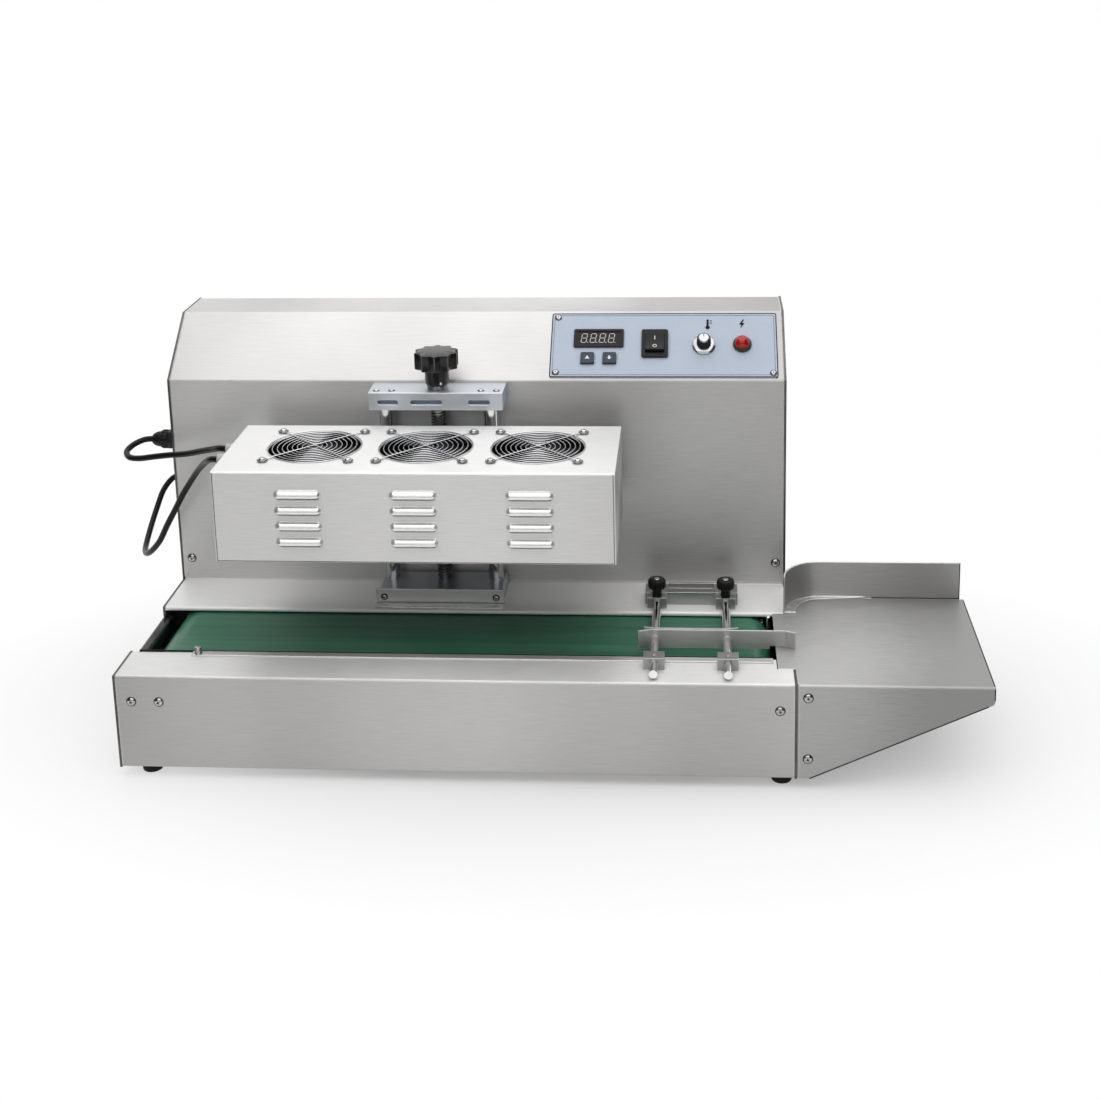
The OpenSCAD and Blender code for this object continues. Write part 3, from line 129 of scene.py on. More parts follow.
# Shared shader effects
def effect(name, inputs, outputs):
    """An empty node group with named sockets, and its input and output nodes."""
    group = bpy.data.node_groups.new(name, "ShaderNodeTree")
    for label, kind, value in inputs:
        socket = group.interface.new_socket(name=label, in_out="INPUT", socket_type=kind)
        if value is not None:
            socket.default_value = value
    for label, kind in outputs:
        group.interface.new_socket(name=label, in_out="OUTPUT", socket_type=kind)
    return group, group.nodes.new("NodeGroupInput"), group.nodes.new("NodeGroupOutput")


def noise(tree, vector, scale, detail=3.0, roughness=0.55):
    """A noise texture on a vector."""
    node = tree.nodes.new("ShaderNodeTexNoise")
    node.inputs["Scale"].default_value = scale
    node.inputs["Detail"].default_value = detail
    node.inputs["Roughness"].default_value = roughness
    tree.links.new(vector, node.inputs["Vector"])
    return node


def calc(tree, kind, a, b=None):
    """One step of arithmetic on values or sockets."""
    node = tree.nodes.new("ShaderNodeMath")
    node.operation = kind
    for i, value in enumerate((a, b)):
        if value is None:
            continue
        if isinstance(value, (int, float)):
            node.inputs[i].default_value = value
        else:
            tree.links.new(value, node.inputs[i])
    return node.outputs[0]


def spread(tree, value, low, high, from_low=0.0, from_high=1.0):
    """A value brought from one range to another."""
    node = tree.nodes.new("ShaderNodeMapRange")
    limits = {"From Min": from_low, "From Max": from_high, "To Min": low, "To Max": high}
    for label, number in limits.items():
        node.inputs[label].default_value = number
    tree.links.new(value, node.inputs["Value"])
    return node.outputs["Result"]


# Painted sheen: broad bands of light painted on brushed sheet as a cosine along X: radians per unit of the
# pattern, and the phase of the first
SHEEN_TURNS, SHEEN_START = 1.155, 0.66
# Cosine at which a rounded edge counts as fully turned
EDGE_TURN = 0.86


def make_brushed():
    """Short fine scratches along the grain, random broad tone, and painted sheen: broad soft bands of light
    as a cosine along X.
    """
    group, start, end = effect(
        "brushed_grain_and_painted_sheen",
        [
            ("Fine", "NodeSocketVector", None),
            ("Broad", "NodeSocketVector", None),
            ("Bands", "NodeSocketFloat", 1.0),
        ],
        [("Tone_and_sheen", "NodeSocketFloat"), ("Scratch", "NodeSocketFloat")],
    )
    fine = noise(group, start.outputs["Fine"], 1.0, 5.0, 0.72)
    broad = noise(group, start.outputs["Broad"], 1.0, 1.5, 0.45)
    along = group.nodes.new("ShaderNodeSeparateXYZ")
    group.links.new(start.outputs["Broad"], along.inputs[0])
    # Painted sheen: a cosine band of light along X, added to the random broad drift
    angle = calc(group, "ADD", calc(group, "MULTIPLY", along.outputs["X"], SHEEN_TURNS), SHEEN_START)
    wave = calc(group, "COSINE", angle)
    drift = spread(group, broad.outputs["Fac"], -0.7, 0.7, 0.2, 0.8)
    level = calc(group, "ADD", calc(group, "MULTIPLY", wave, 0.6), drift)
    sheen = calc(group, "MULTIPLY", calc(group, "SUBTRACT", level, 0.25), start.outputs["Bands"])
    streak = spread(group, fine.outputs["Fac"], -0.6, 0.6)
    group.links.new(calc(group, "ADD", calc(group, "ADD", streak, sheen), 0.5), end.inputs["Tone_and_sheen"])
    group.links.new(fine.outputs["Fac"], end.inputs["Scratch"])
    return group


def make_edges():
    """Where a surface turns over an edge, and its normal with that edge rounded."""
    group, start, end = effect(
        "edge_round",
        [("Radius", "NodeSocketFloat", 0.0006)],
        [("Edge", "NodeSocketFloat"), ("Normal", "NodeSocketVector")],
    )
    bevel = group.nodes.new("ShaderNodeBevel")
    bevel.samples = 6
    plain = group.nodes.new("ShaderNodeNewGeometry")
    dot = group.nodes.new("ShaderNodeVectorMath")
    dot.operation = "DOT_PRODUCT"
    group.links.new(start.outputs["Radius"], bevel.inputs["Radius"])
    group.links.new(bevel.outputs["Normal"], dot.inputs[0])
    group.links.new(plain.outputs["Normal"], dot.inputs[1])
    group.links.new(spread(group, dot.outputs["Value"], 1.0, 0.0, EDGE_TURN, 1.0), end.inputs["Edge"])
    group.links.new(bevel.outputs["Normal"], end.inputs["Normal"])
    return group


def make_smudge():
    """Faint handling marks and settled dust, as a soft mask."""
    group, start, end = effect(
        "handling_marks",
        [("Vector", "NodeSocketVector", None), ("Size", "NodeSocketFloat", 22.0)],
        [("Mask", "NodeSocketFloat"), ("Speck", "NodeSocketFloat")],
    )
    blot = group.nodes.new("ShaderNodeTexNoise")
    blot.inputs["Detail"].default_value = 5.0
    blot.inputs["Roughness"].default_value = 0.62
    group.links.new(start.outputs["Vector"], blot.inputs["Vector"])
    group.links.new(start.outputs["Size"], blot.inputs["Scale"])
    group.links.new(spread(group, blot.outputs["Fac"], 0.0, 1.0, 0.42, 0.72), end.inputs["Mask"])
    speck = noise(group, start.outputs["Vector"], 2600.0, 2.0, 0.5)
    group.links.new(speck.outputs["Fac"], end.inputs["Speck"])
    return group


GRAIN_AND_SHEEN = make_brushed()
EDGES = make_edges()
SMUDGE = make_smudge()


class Finish:
    """One material under way: its tree, its shader, and its object coordinates."""

    def __init__(self, name):
        self.material = bpy.data.materials.new(name)
        self.material.use_nodes = True
        self.tree = self.material.node_tree
        self.shader = self.tree.nodes["Principled BSDF"]
        self.place = self.tree.nodes.new("ShaderNodeTexCoord").outputs["Object"]

    def use(self, group, **values):
        node = self.tree.nodes.new("ShaderNodeGroup")
        node.node_tree = group
        for label, value in values.items():
            if isinstance(value, (int, float)):
                node.inputs[label].default_value = value
            else:
                self.tree.links.new(value, node.inputs[label])
        return node

    def stretch(self, scale, shift=(0, 0, 0)):
        node = self.tree.nodes.new("ShaderNodeMapping")
        node.inputs["Scale"].default_value = scale
        node.inputs["Location"].default_value = shift
        self.tree.links.new(self.place, node.inputs["Vector"])
        return node.outputs["Vector"]

    def blend_colour(self, mask, low, high):
        node = self.tree.nodes.new("ShaderNodeMix")
        node.data_type = "RGBA"
        self.tree.links.new(mask, node.inputs[0])
        for socket, colour in ((node.inputs[6], low), (node.inputs[7], high)):
            if isinstance(colour, tuple):
                socket.default_value = (*colour, 1)
            else:
                self.tree.links.new(colour, socket)
        return node.outputs[2]

    def feed(self, value, label):
        self.tree.links.new(value, self.shader.inputs[label])

    def relief(self, height, strength, distance, base=None):
        node = self.tree.nodes.new("ShaderNodeBump")
        node.inputs["Strength"].default_value = strength
        node.inputs["Distance"].default_value = distance
        self.tree.links.new(height, node.inputs["Height"])
        if base is not None:
            self.tree.links.new(base, node.inputs["Normal"])
        self.feed(node.outputs["Normal"], "Normal")

    def fixed(self, **values):
        for label, value in values.items():
            socket = self.shader.inputs[label.replace("_", " ")]
            socket.default_value = (*value, 1) if isinstance(value, tuple) else value


def lighter(colour, factor, lift=0.0):
    """A colour made brighter, up to white."""
    return tuple(min(1.0, c * factor + lift) for c in colour)


# Scales of the scratches and of the broad tone and painted sheen bands, by the axis of the grain
SCRATCHES = {"X": (26, 1000, 1000), "Y": (1000, 26, 1000)}
BANDS = {"X": (3.4, 2.2, 0.6), "Y": (2.2, 3.4, 0.6)}
BAND_SHIFT = (0.35, 0.2, 0.1)


def brushed_metal(name, dark, light, axis, rough=(0.36, 0.5), bands=0.8, edge=0.002, metal=0.8):
    """Metal brushed along one axis: long scratches, highlights drawn out across them, painted sheen bands,
    and a painted highlight along rounded edges.
    """
    f = Finish(name)
    f.fixed(Metallic=metal, Anisotropic=0.6)
    across = f.tree.nodes.new("ShaderNodeTangent")
    across.direction_type = "RADIAL"
    across.axis = axis
    f.feed(across.outputs["Tangent"], "Tangent")
    fine = f.stretch(SCRATCHES[axis])
    broad = f.stretch(BANDS[axis], BAND_SHIFT)
    grain_and_sheen = f.use(GRAIN_AND_SHEEN, Fine=fine, Broad=broad, Bands=bands)
    marks = f.use(SMUDGE, Vector=f.place, Size=9.0)
    edges = f.use(EDGES, Radius=edge)
    body = f.blend_colour(grain_and_sheen.outputs["Tone_and_sheen"], dark, light)
    # Painted highlight: a lighter colour along rounded edges and bends
    f.feed(f.blend_colour(edges.outputs["Edge"], body, lighter(light, 1.5)), "Base Color")
    level = spread(f.tree, grain_and_sheen.outputs["Scratch"], *rough, 0.3, 0.7)
    f.feed(calc(f.tree, "ADD", level, calc(f.tree, "MULTIPLY", marks.outputs["Mask"], 0.05)), "Roughness")
    f.relief(grain_and_sheen.outputs["Scratch"], 0.06, 0.0002, edges.outputs["Normal"])
    return f.material


def moulded(name, colour, rough=(0.38, 0.5), speck=0.12, edge=0.0005, shade=0.75, shine=0.35, edge_highlight_lift=0.012):
    """Moulded plastic or rubber with a fine surface, a little dust, and a painted highlight along rounded
    edges.
    """
    f = Finish(name)
    f.fixed(Specular_IOR_Level=shine)
    marks = f.use(SMUDGE, Vector=f.place, Size=30.0)
    edges = f.use(EDGES, Radius=edge)
    deep = tuple(c * shade for c in colour)
    body = f.blend_colour(marks.outputs["Mask"], deep, colour)
    # Painted highlight: a lighter colour along rounded edges, raised by the lift
    f.feed(f.blend_colour(edges.outputs["Edge"], body, lighter(colour, 1.35, edge_highlight_lift)), "Base Color")
    f.feed(spread(f.tree, marks.outputs["Mask"], *rough), "Roughness")
    f.relief(marks.outputs["Speck"], speck, 0.0002, edges.outputs["Normal"])
    return f.material


def polished(name, dark, light, rough=(0.06, 0.16), edge=0.0004, size=14.0):
    """Turned or plated bright metal with faint bands and marks, and a painted highlight along rounded
    edges.
    """
    f = Finish(name)
    f.fixed(Metallic=1.0)
    marks = f.use(SMUDGE, Vector=f.place, Size=size)
    edges = f.use(EDGES, Radius=edge)
    body = f.blend_colour(marks.outputs["Mask"], light, dark)
    # Painted highlight: a lighter colour along rounded edges
    f.feed(f.blend_colour(edges.outputs["Edge"], body, lighter(light, 1.1)), "Base Color")
    f.feed(spread(f.tree, marks.outputs["Mask"], *rough), "Roughness")
    f.relief(marks.outputs["Speck"], 0.03, 0.0001, edges.outputs["Normal"])
    return f.material


SHEET_DARK, SHEET_LIGHT = (0.38, 0.376, 0.368), (0.60, 0.595, 0.585)
SHEET_EDGE = 0.0028
STEEL = brushed_metal("brushed_steel", SHEET_DARK, SHEET_LIGHT, "X", edge=SHEET_EDGE)
# Painted light: a lighter copy of the brushed steel for the tower's front face
STEEL_TOWER_PAINTED_LIGHT = brushed_metal("brushed_steel_tower_painted_light", (0.43, 0.426, 0.418), (0.68, 0.675, 0.665), "X",
                            edge=SHEET_EDGE)
# Painted light: a far lighter copy of the brushed steel for the deck ledge, also where the head shades it
STEEL_DECK_PAINTED_LIGHT = brushed_metal("brushed_steel_deck_painted_light", (0.78, 0.776, 0.768), (0.97, 0.966, 0.96), "X",
                           (0.42, 0.54), metal=0.4)
# Painted light: a lighter copy of the brushed steel for the top faces of the base and the head
STEEL_TOP_PAINTED_LIGHT = brushed_metal("brushed_steel_top_painted_light", (0.60, 0.597, 0.59), (0.88, 0.876, 0.87), "X",
                          (0.4, 0.52), metal=0.5)
# Painted light: a lighter copy of the brushed steel for the table's fence
STEEL_FENCE_PAINTED_LIGHT = brushed_metal("brushed_steel_fence_painted_light", (0.38, 0.377, 0.37), (0.66, 0.655, 0.65), "X",
                            bands=0.75)
# Painted light: a lighter copy of the brushed steel for the head cover and the foot bracket in its shadow
STEEL_HEAD_PAINTED_LIGHT = brushed_metal("brushed_steel_head_painted_light", (0.50, 0.497, 0.49), (0.80, 0.796, 0.79), "X")
STEEL_SIDE = brushed_metal("brushed_steel_side", SHEET_DARK, SHEET_LIGHT, "Y")
# Painted shade: a darker copy of the brushed steel for the table
STEEL_TABLE_PAINTED_SHADE = brushed_metal("brushed_steel_table_painted_shade", (0.29, 0.288, 0.285), (0.56, 0.556, 0.55), "X",
                            bands=0.75)
# Painted highlight: a near-white copy of the brushed steel for the louvre hoods, the fence's foot flange
# and the foot bracket's strip
STEEL_PAINTED_HIGHLIGHT = brushed_metal("steel_painted_highlight", (0.74, 0.736, 0.73), (0.95, 0.945, 0.94), "X",
                             (0.22, 0.32), 0.3)
ALUMINIUM = brushed_metal("satin_aluminium", (0.42, 0.45, 0.49), (0.72, 0.75, 0.79), "X",
                          (0.28, 0.4), 0.9)
# Painted shade: near-black for the sheet edges of the side plates and table, and for the head's joint and
# shadow lines
DARK_JOINT_AND_EDGE_SHADE = polished("dark_joint_and_painted_edge_shade", (0.05, 0.05, 0.05), (0.12, 0.12, 0.118), (0.35, 0.5), 0.0002)
GUARD_WIRE = polished("guard_wire", (0.5, 0.5, 0.51), (0.7, 0.7, 0.71), (0.16, 0.28))
CHROME = polished("plated_chrome", (0.64, 0.64, 0.65), (0.86, 0.86, 0.87))
SCREW_STEEL = polished("screw_steel", (0.34, 0.34, 0.34), (0.54, 0.54, 0.54), (0.12, 0.24), 0.0003, 60.0)
BLOCK_STEEL = brushed_metal("block_steel", (0.26, 0.258, 0.255), (0.48, 0.477, 0.47), "Y",
                            (0.3, 0.42), 0.3, 0.0012)
THREAD_STEEL = polished("thread_steel", (0.14, 0.135, 0.13), (0.32, 0.315, 0.31), (0.16, 0.28),
                        0.0003, 90.0)
PLATE_STEEL = brushed_metal("plate_steel", (0.36, 0.358, 0.355), (0.64, 0.637, 0.63), "X",
                            (0.4, 0.52), 0.5, 0.001, 0.7)
SLOT_SHADE = moulded("slot_shade", (0.44, 0.53, 0.64), (0.4, 0.5), 0.05)
BRONZE = polished("bush_bronze", (0.45, 0.28, 0.12), (0.66, 0.43, 0.2), (0.2, 0.35))
COPPER = polished("coil_copper", (0.5, 0.22, 0.1), (0.72, 0.36, 0.2), (0.3, 0.45))
BLACK = moulded("black_plastic", (0.012, 0.012, 0.013), shine=0.2)
GLOSS_BLACK = moulded("knob_black", (0.010, 0.010, 0.011), (0.2, 0.3), 0.05, 0.0014, 0.8, 0.4, 0.09)
# Painted sheen on the star knob's top, and painted highlights on its ridges and crown
KNOB_TOP_PAINTED_SHEEN = moulded("knob_top_painted_sheen", (0.036, 0.037, 0.041), (0.24, 0.34), 0.05, 0.0014, 0.85, 0.4, 0.09)
KNOB_RIDGE_PAINTED_HIGHLIGHT = moulded("knob_ridge_painted_highlight", (0.085, 0.086, 0.091), (0.2, 0.3), 0.05, 0.0006, 0.85, 0.5)
RUBBER = moulded("black_rubber", (0.014, 0.014, 0.014), (0.6, 0.75), 0.3, shine=0.15)
PANEL = moulded("panel_blue_grey", (0.46, 0.52, 0.62), (0.36, 0.46), 0.05, 0.0006, 0.94)
KEY = moulded("key_slate", (0.05, 0.062, 0.088), (0.4, 0.5), 0.1, 0.0008, shine=0.25)
PALE = moulded("pale_plastic", (0.55, 0.55, 0.54), (0.4, 0.5), 0.1)
RED = moulded("lamp_red", (0.46, 0.004, 0.008), (0.05, 0.09), 0.01, 0.0003, 0.8, 0.5)
GREEN_RING = moulded("lamp_ring_green", (0.015, 0.075, 0.035), (0.25, 0.35), 0.05, shine=0.25)
WHITE_MARK = moulded("printed_white", (0.78, 0.78, 0.78), (0.45, 0.55), 0.03, 0.0001, 0.96)
# Black for the panel's print and the dial's line, also painted shade in screw recesses, under screw heads
# and along the table's edges
PRINT_AND_SHADE_BLACK = moulded("print_and_painted_shade", (0.008, 0.009, 0.011), (0.45, 0.55), 0.03, 0.0001, shine=0.1)
DIGIT = moulded("display_digits", (0.58, 0.51, 0.52), (0.3, 0.4), 0.02, 0.0001, 0.95)


def belt_green():
    """Satin coated belt with a fine woven print and rubbed lanes along its run, and a painted highlight
    along its rounded edges.
    """
    f = Finish("belt_green")
    lanes = noise(f.tree, f.stretch((3, 110, 110)), 1.0, 3.0, 0.5)
    weave = noise(f.tree, f.stretch((700, 700, 700)), 1.0, 2.0, 0.6)
    edges = f.use(EDGES, Radius=0.0016)
    body = f.blend_colour(spread(f.tree, lanes.outputs["Fac"], 0, 1, 0.3, 0.7),
                          (0.019, 0.12, 0.067), (0.046, 0.2, 0.115))
    # Painted highlight: a light green along rounded edges
    f.feed(f.blend_colour(edges.outputs["Edge"], body, (0.16, 0.36, 0.24)), "Base Color")
    f.feed(spread(f.tree, lanes.outputs["Fac"], 0.3, 0.42, 0.3, 0.7), "Roughness")
    f.relief(weave.outputs["Fac"], 0.08, 0.0003, edges.outputs["Normal"])
    return f.material


BELT = belt_green()
CABLE = moulded("cable_sheath", (0.009, 0.009, 0.010), (0.28, 0.38), 0.08, shine=0.16)
DIAL_SILVER = polished("dial_silver", (0.30, 0.30, 0.31), (0.52, 0.52, 0.53), (0.1, 0.2))

FINISHES = {
    STEEL: ["base_front_panel", "bottom_plate", "tower_cover", "rear_panel", "belt_edge_strip",
            "belt_bed", "conveyor_rails"],
    PLATE_STEEL: ["front_guide", "rear_guide"],
    STEEL_SIDE: ["left_side_plate", "right_side_plate"],
    BLOCK_STEEL: ["front_guide_blocks", "rear_guide_base"],
    STEEL_HEAD_PAINTED_LIGHT: ["head_cover", "foot_bracket"],
    STEEL_DECK_PAINTED_LIGHT: ["deck_ledge"],
    STEEL_TABLE_PAINTED_SHADE: ["table"],
    STEEL_FENCE_PAINTED_LIGHT: ["table_fence"],
    ALUMINIUM: ["top_bracket", "head_carriage", "foot_block", "motor_pulley", "gear_motor"],
    CHROME: ["column_rods", "drive_roller", "idler_roller", "roller_bearings"],
    BRONZE: ["lift_nut", "rod_bushes"],
    COPPER: ["induction_coil"],
    BLACK: ["fan_frames", "coil_tray", "power_inlet",
            "switch_housing", "display_module", "power_module"],
    PALE: ["head_glands"],
    GLOSS_BLACK: ["belt_end_bar"],
    RUBBER: ["drive_belt"],
    BELT: ["conveyor_belt"],
    PANEL: ["control_panel"],
    KEY: ["up_button", "down_button"],
}


def paint(piece, *finishes):
    """The finishes of a piece, the first of them all over it."""
    piece.data.materials.clear()
    for finish in finishes:
        piece.data.materials.append(finish)


for finish, names in FINISHES.items():
    for name in names:
        paint(nodes[name], finish)


def face_finish(name, finish, test):
    """A further finish for a node's faces that pass a test on their middle, in millimetres, and normal."""
    node = nodes[name]
    node.data.materials.append(finish)
    last = len(node.data.materials) - 1
    for face in node.data.polygons:
        middle = node.matrix_world @ face.center / MM + Vector(FRAME_ORIGIN)
        if test(middle, face.normal):
            face.material_index = last


def in_bracket_slot(c, n):
    """On the walls of the slots through the top bracket's front."""
    (front, back), (low, high) = BRACKET_SLOT_Y, BRACKET_SLOT_Z
    return front < c.y < back and low < c.z < high and n.y < 0.5


def on_rod(c):
    """Round one of the guide rods."""
    return min(abs(c.x - x) for x in ROD_X) < ROD_REACH


# Painted light and shade on faces: dark side plate and table edges, lighter tops and tower face, near-white
# fence flange and louvre hoods
for name in ("left_side_plate", "right_side_plate"):
    face_finish(name, DARK_JOINT_AND_EDGE_SHADE, lambda c, n: abs(n.x) < 0.5)
face_finish("base_front_panel", STEEL_TOP_PAINTED_LIGHT, lambda c, n: n.z > 0.9 and c.z > DECK_Z - 3)
face_finish("tower_cover", STEEL_TOWER_PAINTED_LIGHT, lambda c, n: n.y < -0.95)
face_finish("table", DARK_JOINT_AND_EDGE_SHADE, lambda c, n: n.z < -0.2 and abs(n.y) < 0.3)
face_finish("table_fence", STEEL_PAINTED_HIGHLIGHT, lambda c, n: n.z > 0.9 and c.z < DECK_Z + 3)
face_finish("head_cover", STEEL_TOP_PAINTED_LIGHT, lambda c, n: n.z > 0.9 and c.z > HEAD_TOP_Z - 2)
face_finish("head_cover", STEEL_PAINTED_HIGHLIGHT, lambda c, n: c.y < HEAD_FRONT_Y - 0.2)
face_finish("top_bracket", SLOT_SHADE, in_bracket_slot)
face_finish("front_guide", CHROME, lambda c, n: c.y < FRONT_RODS_Y and on_rod(c))
face_finish("rear_guide", CHROME, lambda c, n: c.y > REAR_RODS_Y and on_rod(c))


# Modelling helpers
def fresh():
    """Object mode with nothing selected."""
    if bpy.context.object and bpy.context.object.mode != "OBJECT":
        bpy.ops.object.mode_set(mode="OBJECT")
    bpy.ops.object.select_all(action="DESELECT")


def hold(piece):
    """This piece alone selected and active."""
    fresh()
    piece.select_set(True)
    bpy.context.view_layer.objects.active = piece


def shape(piece):
    """Edit mode on this piece, everything in it selected."""
    hold(piece)
    bpy.ops.object.mode_set(mode="EDIT")
    bpy.ops.mesh.select_mode(type="FACE")
    bpy.ops.mesh.select_all(action="SELECT")


def done():
    """Back to object mode."""
    bpy.ops.object.mode_set(mode="OBJECT")


def choose(piece, test):
    """In edit mode, the faces that pass a test on their middle and normal, in millimetres."""
    bpy.ops.mesh.select_mode(type="FACE")
    bpy.ops.mesh.select_all(action="DESELECT")
    mesh = bmesh.from_edit_mesh(piece.data)
    for face in mesh.faces:
        face.select_set(bool(test(face.calc_center_median() / MM, face.normal)))
    bmesh.update_edit_mesh(piece.data)


def push_out(distance):
    """Extrude the chosen faces along Z by millimetres."""
    bpy.ops.mesh.extrude_region_move(TRANSFORM_OT_translate={"value": (0, 0, distance * MM)})


def swell(x, y=None):
    """Widen what is chosen about the middle."""
    bpy.ops.transform.resize(value=(x, x if y is None else y, 1), center_override=(0, 0, 0))


def build_up(steps):
    """Extrude what is chosen in steps, each a rise in millimetres and a widening."""
    for rise, grow in steps:
        push_out(rise)
        swell(grow)


def clean():
    """Merge doubles and turn the faces outwards."""
    bpy.ops.mesh.select_all(action="SELECT")
    bpy.ops.mesh.remove_doubles(threshold=0.00001)
    bpy.ops.mesh.normals_make_consistent(inside=False)


def finish_with(piece, kind, **values):
    """Add one modifier, set it and apply it."""
    hold(piece)
    modifier = piece.modifiers.new(kind.lower(), kind)
    for label, value in values.items():
        setattr(modifier, label, value)
    bpy.ops.object.modifier_apply(modifier=modifier.name)


def round_edges(piece, width, segments=2, angle=35):
    """Bevel the sharp edges by millimetres."""
    finish_with(piece, "BEVEL", width=width * MM, segments=segments, limit_method="ANGLE",
                angle_limit=math.radians(angle), harden_normals=False)


def block(name, size, middle=(0, 0, 0)):
    """A box of a size in millimetres, to be shaped further."""
    fresh()
    bpy.ops.mesh.primitive_cube_add(size=1, location=[c * MM for c in middle])
    piece = bpy.context.object
    piece.name = name
    piece.scale = [s * MM for s in size]
    bpy.ops.object.transform_apply(location=True, rotation=True, scale=True)
    return piece


def drawn(name, profile):
    """An open line through (radius, height) points in millimetres, left in edit mode."""
    fresh()
    bpy.ops.mesh.primitive_plane_add(size=MM)
    piece = bpy.context.object
    piece.name = name
    shape(piece)
    bpy.ops.mesh.merge(type="CENTER")
    bpy.ops.mesh.select_mode(type="VERT")
    bpy.ops.mesh.select_all(action="SELECT")
    r, h = profile[0]
    bpy.ops.transform.translate(value=(r * MM, 0, h * MM))
    for r_next, h_next in profile[1:]:
        step = ((r_next - r) * MM, 0, (h_next - h) * MM)
        bpy.ops.mesh.extrude_region_move(TRANSFORM_OT_translate={"value": step})
        r, h = r_next, h_next
    return piece


def turned(name, profile, steps=40):
    """A piece turned about Z from (radius, height) points in millimetres."""
    piece = drawn(name, profile)
    bpy.ops.mesh.select_all(action="SELECT")
    bpy.ops.mesh.spin(steps=steps, angle=2 * math.pi, center=(0, 0, 0), axis=(0, 0, 1))
    clean()
    done()
    return piece


def disc(name, radius, points, wave=None):
    """A flat filled ring of points in millimetres; wave gives each angle its radius."""
    fresh()
    bpy.ops.mesh.primitive_circle_add(vertices=points, radius=radius * MM, fill_type="NGON")
    piece = bpy.context.object
    piece.name = name
    if wave:
        for v in piece.data.vertices:
            a = math.atan2(v.co.y, v.co.x)
            v.co = Vector((math.cos(a), math.sin(a), 0)) * (wave(a) * MM)
    return piece


def raised_disc(name, radius, points, height):
    """A flat disc raised to a height."""
    piece = disc(name, radius, points)
    shape(piece)
    push_out(height)
    done()
    return piece


def fluted(name, radius, points, wave, foot, steps, lift):
    """A grip of wavy outline: drawn in at its foot, built up in steps, and lifted to its place."""
    piece = disc(name, radius, points, wave)
    shape(piece)
    swell(foot)
    build_up(steps)
    clean()
    done()
    piece.data.transform(shifted(0, 0, lift))
    return piece


def outline(name, points, height):
    """A flat shape with the given corners in millimetres, raised to a height."""
    fresh()
    bpy.ops.mesh.primitive_circle_add(vertices=len(points), radius=MM, fill_type="NGON")
    piece = bpy.context.object
    piece.name = name
    for v, p in zip(piece.data.vertices, points):
        v.co = (p[0] * MM, p[1] * MM, 0)
    shape(piece)
    push_out(height)
    clean()
    done()
    return piece


def together(name, pieces):
    """Several pieces joined as one."""
    fresh()
    for piece in pieces:
        piece.select_set(True)
    bpy.context.view_layer.objects.active = pieces[0]
    if len(pieces) > 1:
        bpy.ops.object.join()
    pieces[0].name = name
    return pieces[0]


def twin_of(piece, name):
    """A copy of a piece with its own mesh."""
    twin = piece.copy()
    twin.data = piece.data.copy()
    scene.collection.objects.link(twin)
    twin.name = name
    return twin


def repeated(name, piece, places):
    """Copies of a piece, each with its own mesh, at several places, joined as one."""
    made = []
    for place in places:
        twin = twin_of(piece, piece.name)
        twin.data.transform(place)
        made.append(twin)
    bpy.data.objects.remove(piece, do_unlink=True)
    return together(name, made)


def settle(piece, finish, body, place=None, stands_for=(), smooth=35):
    """The finished piece in its place, with its finish, riding on its body."""
    hold(piece)
    if place is not None:
        piece.data.transform(place)
    bpy.ops.object.shade_smooth_by_angle(angle=math.radians(smooth))
    if finish is not None:
        paint(piece, finish)
    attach(piece, body)
    if stands_for:
        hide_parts(*stands_for)


def spot(x, y, z):
    """At a place on the machine, upright."""
    return Matrix.Translation(machine(x, y, z))


def facing_front(x, y, z):
    return spot(x, y, z) @ turning(90, "X")


def facing_back(x, y, z):
    return spot(x, y, z) @ turning(-90, "X")


def facing_left(x, y, z):
    return spot(x, y, z) @ turning(-90, "Y")


def on_panel(x, u, h=0.0):
    """On the sloping face: x along it, u up the slope, h out of the panel's own face."""
    slope = spot(0, TOWER_FRONT_Y, SLOPE_FOOT_Z) @ turning(SLOPE_ANGLE, "X")
    return slope @ shifted(x, u, h + PANEL_THICK)


# Cables between the tower's glands and the head
CABLE_RADIUS = 4


def smooth_route(points, parts=4):
    """A smooth run through points, each stretch cut into equal parts."""
    run = []
    last = len(points) - 1
    for i in range(last):
        a, b = points[max(i - 1, 0)], points[i]
        c, d = points[i + 1], points[min(i + 2, last)]
        for k in range(parts):
            t = k / parts
            run.append(0.5 * (2 * b + (c - a) * t + (2 * a - 5 * b + 4 * c - d) * t * t
                              + (3 * b - a - 3 * c + d) * t * t * t))
    return run + [points[last]]


def tube(name, run, radius):
    """A round wire or sheath swept along a run of points."""
    curve = bpy.data.curves.new(name, "CURVE")
    curve.dimensions = "3D"
    curve.bevel_depth = radius * MM
    curve.bevel_resolution = 4
    curve.use_fill_caps = True
    spline = curve.splines.new("POLY")
    spline.points.add(len(run) - 1)
    for point, place in zip(spline.points, run):
        point.co = (*place, 1)
    piece = bpy.data.objects.new(name, curve)
    scene.collection.objects.link(piece)
    hold(piece)
    bpy.ops.object.convert(target="MESH")
    return bpy.context.object


def cable(name, route, node):
    """A round sheathed cable swept along its route, from the tower to the head."""
    run = smooth_route([machine(*p) for p in route])
    piece = tube(name, run, CABLE_RADIUS)
    bpy.ops.object.shade_smooth_by_angle(angle=math.radians(60))
    piece.data.materials.append(CABLE)
    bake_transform(piece)
    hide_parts(node)


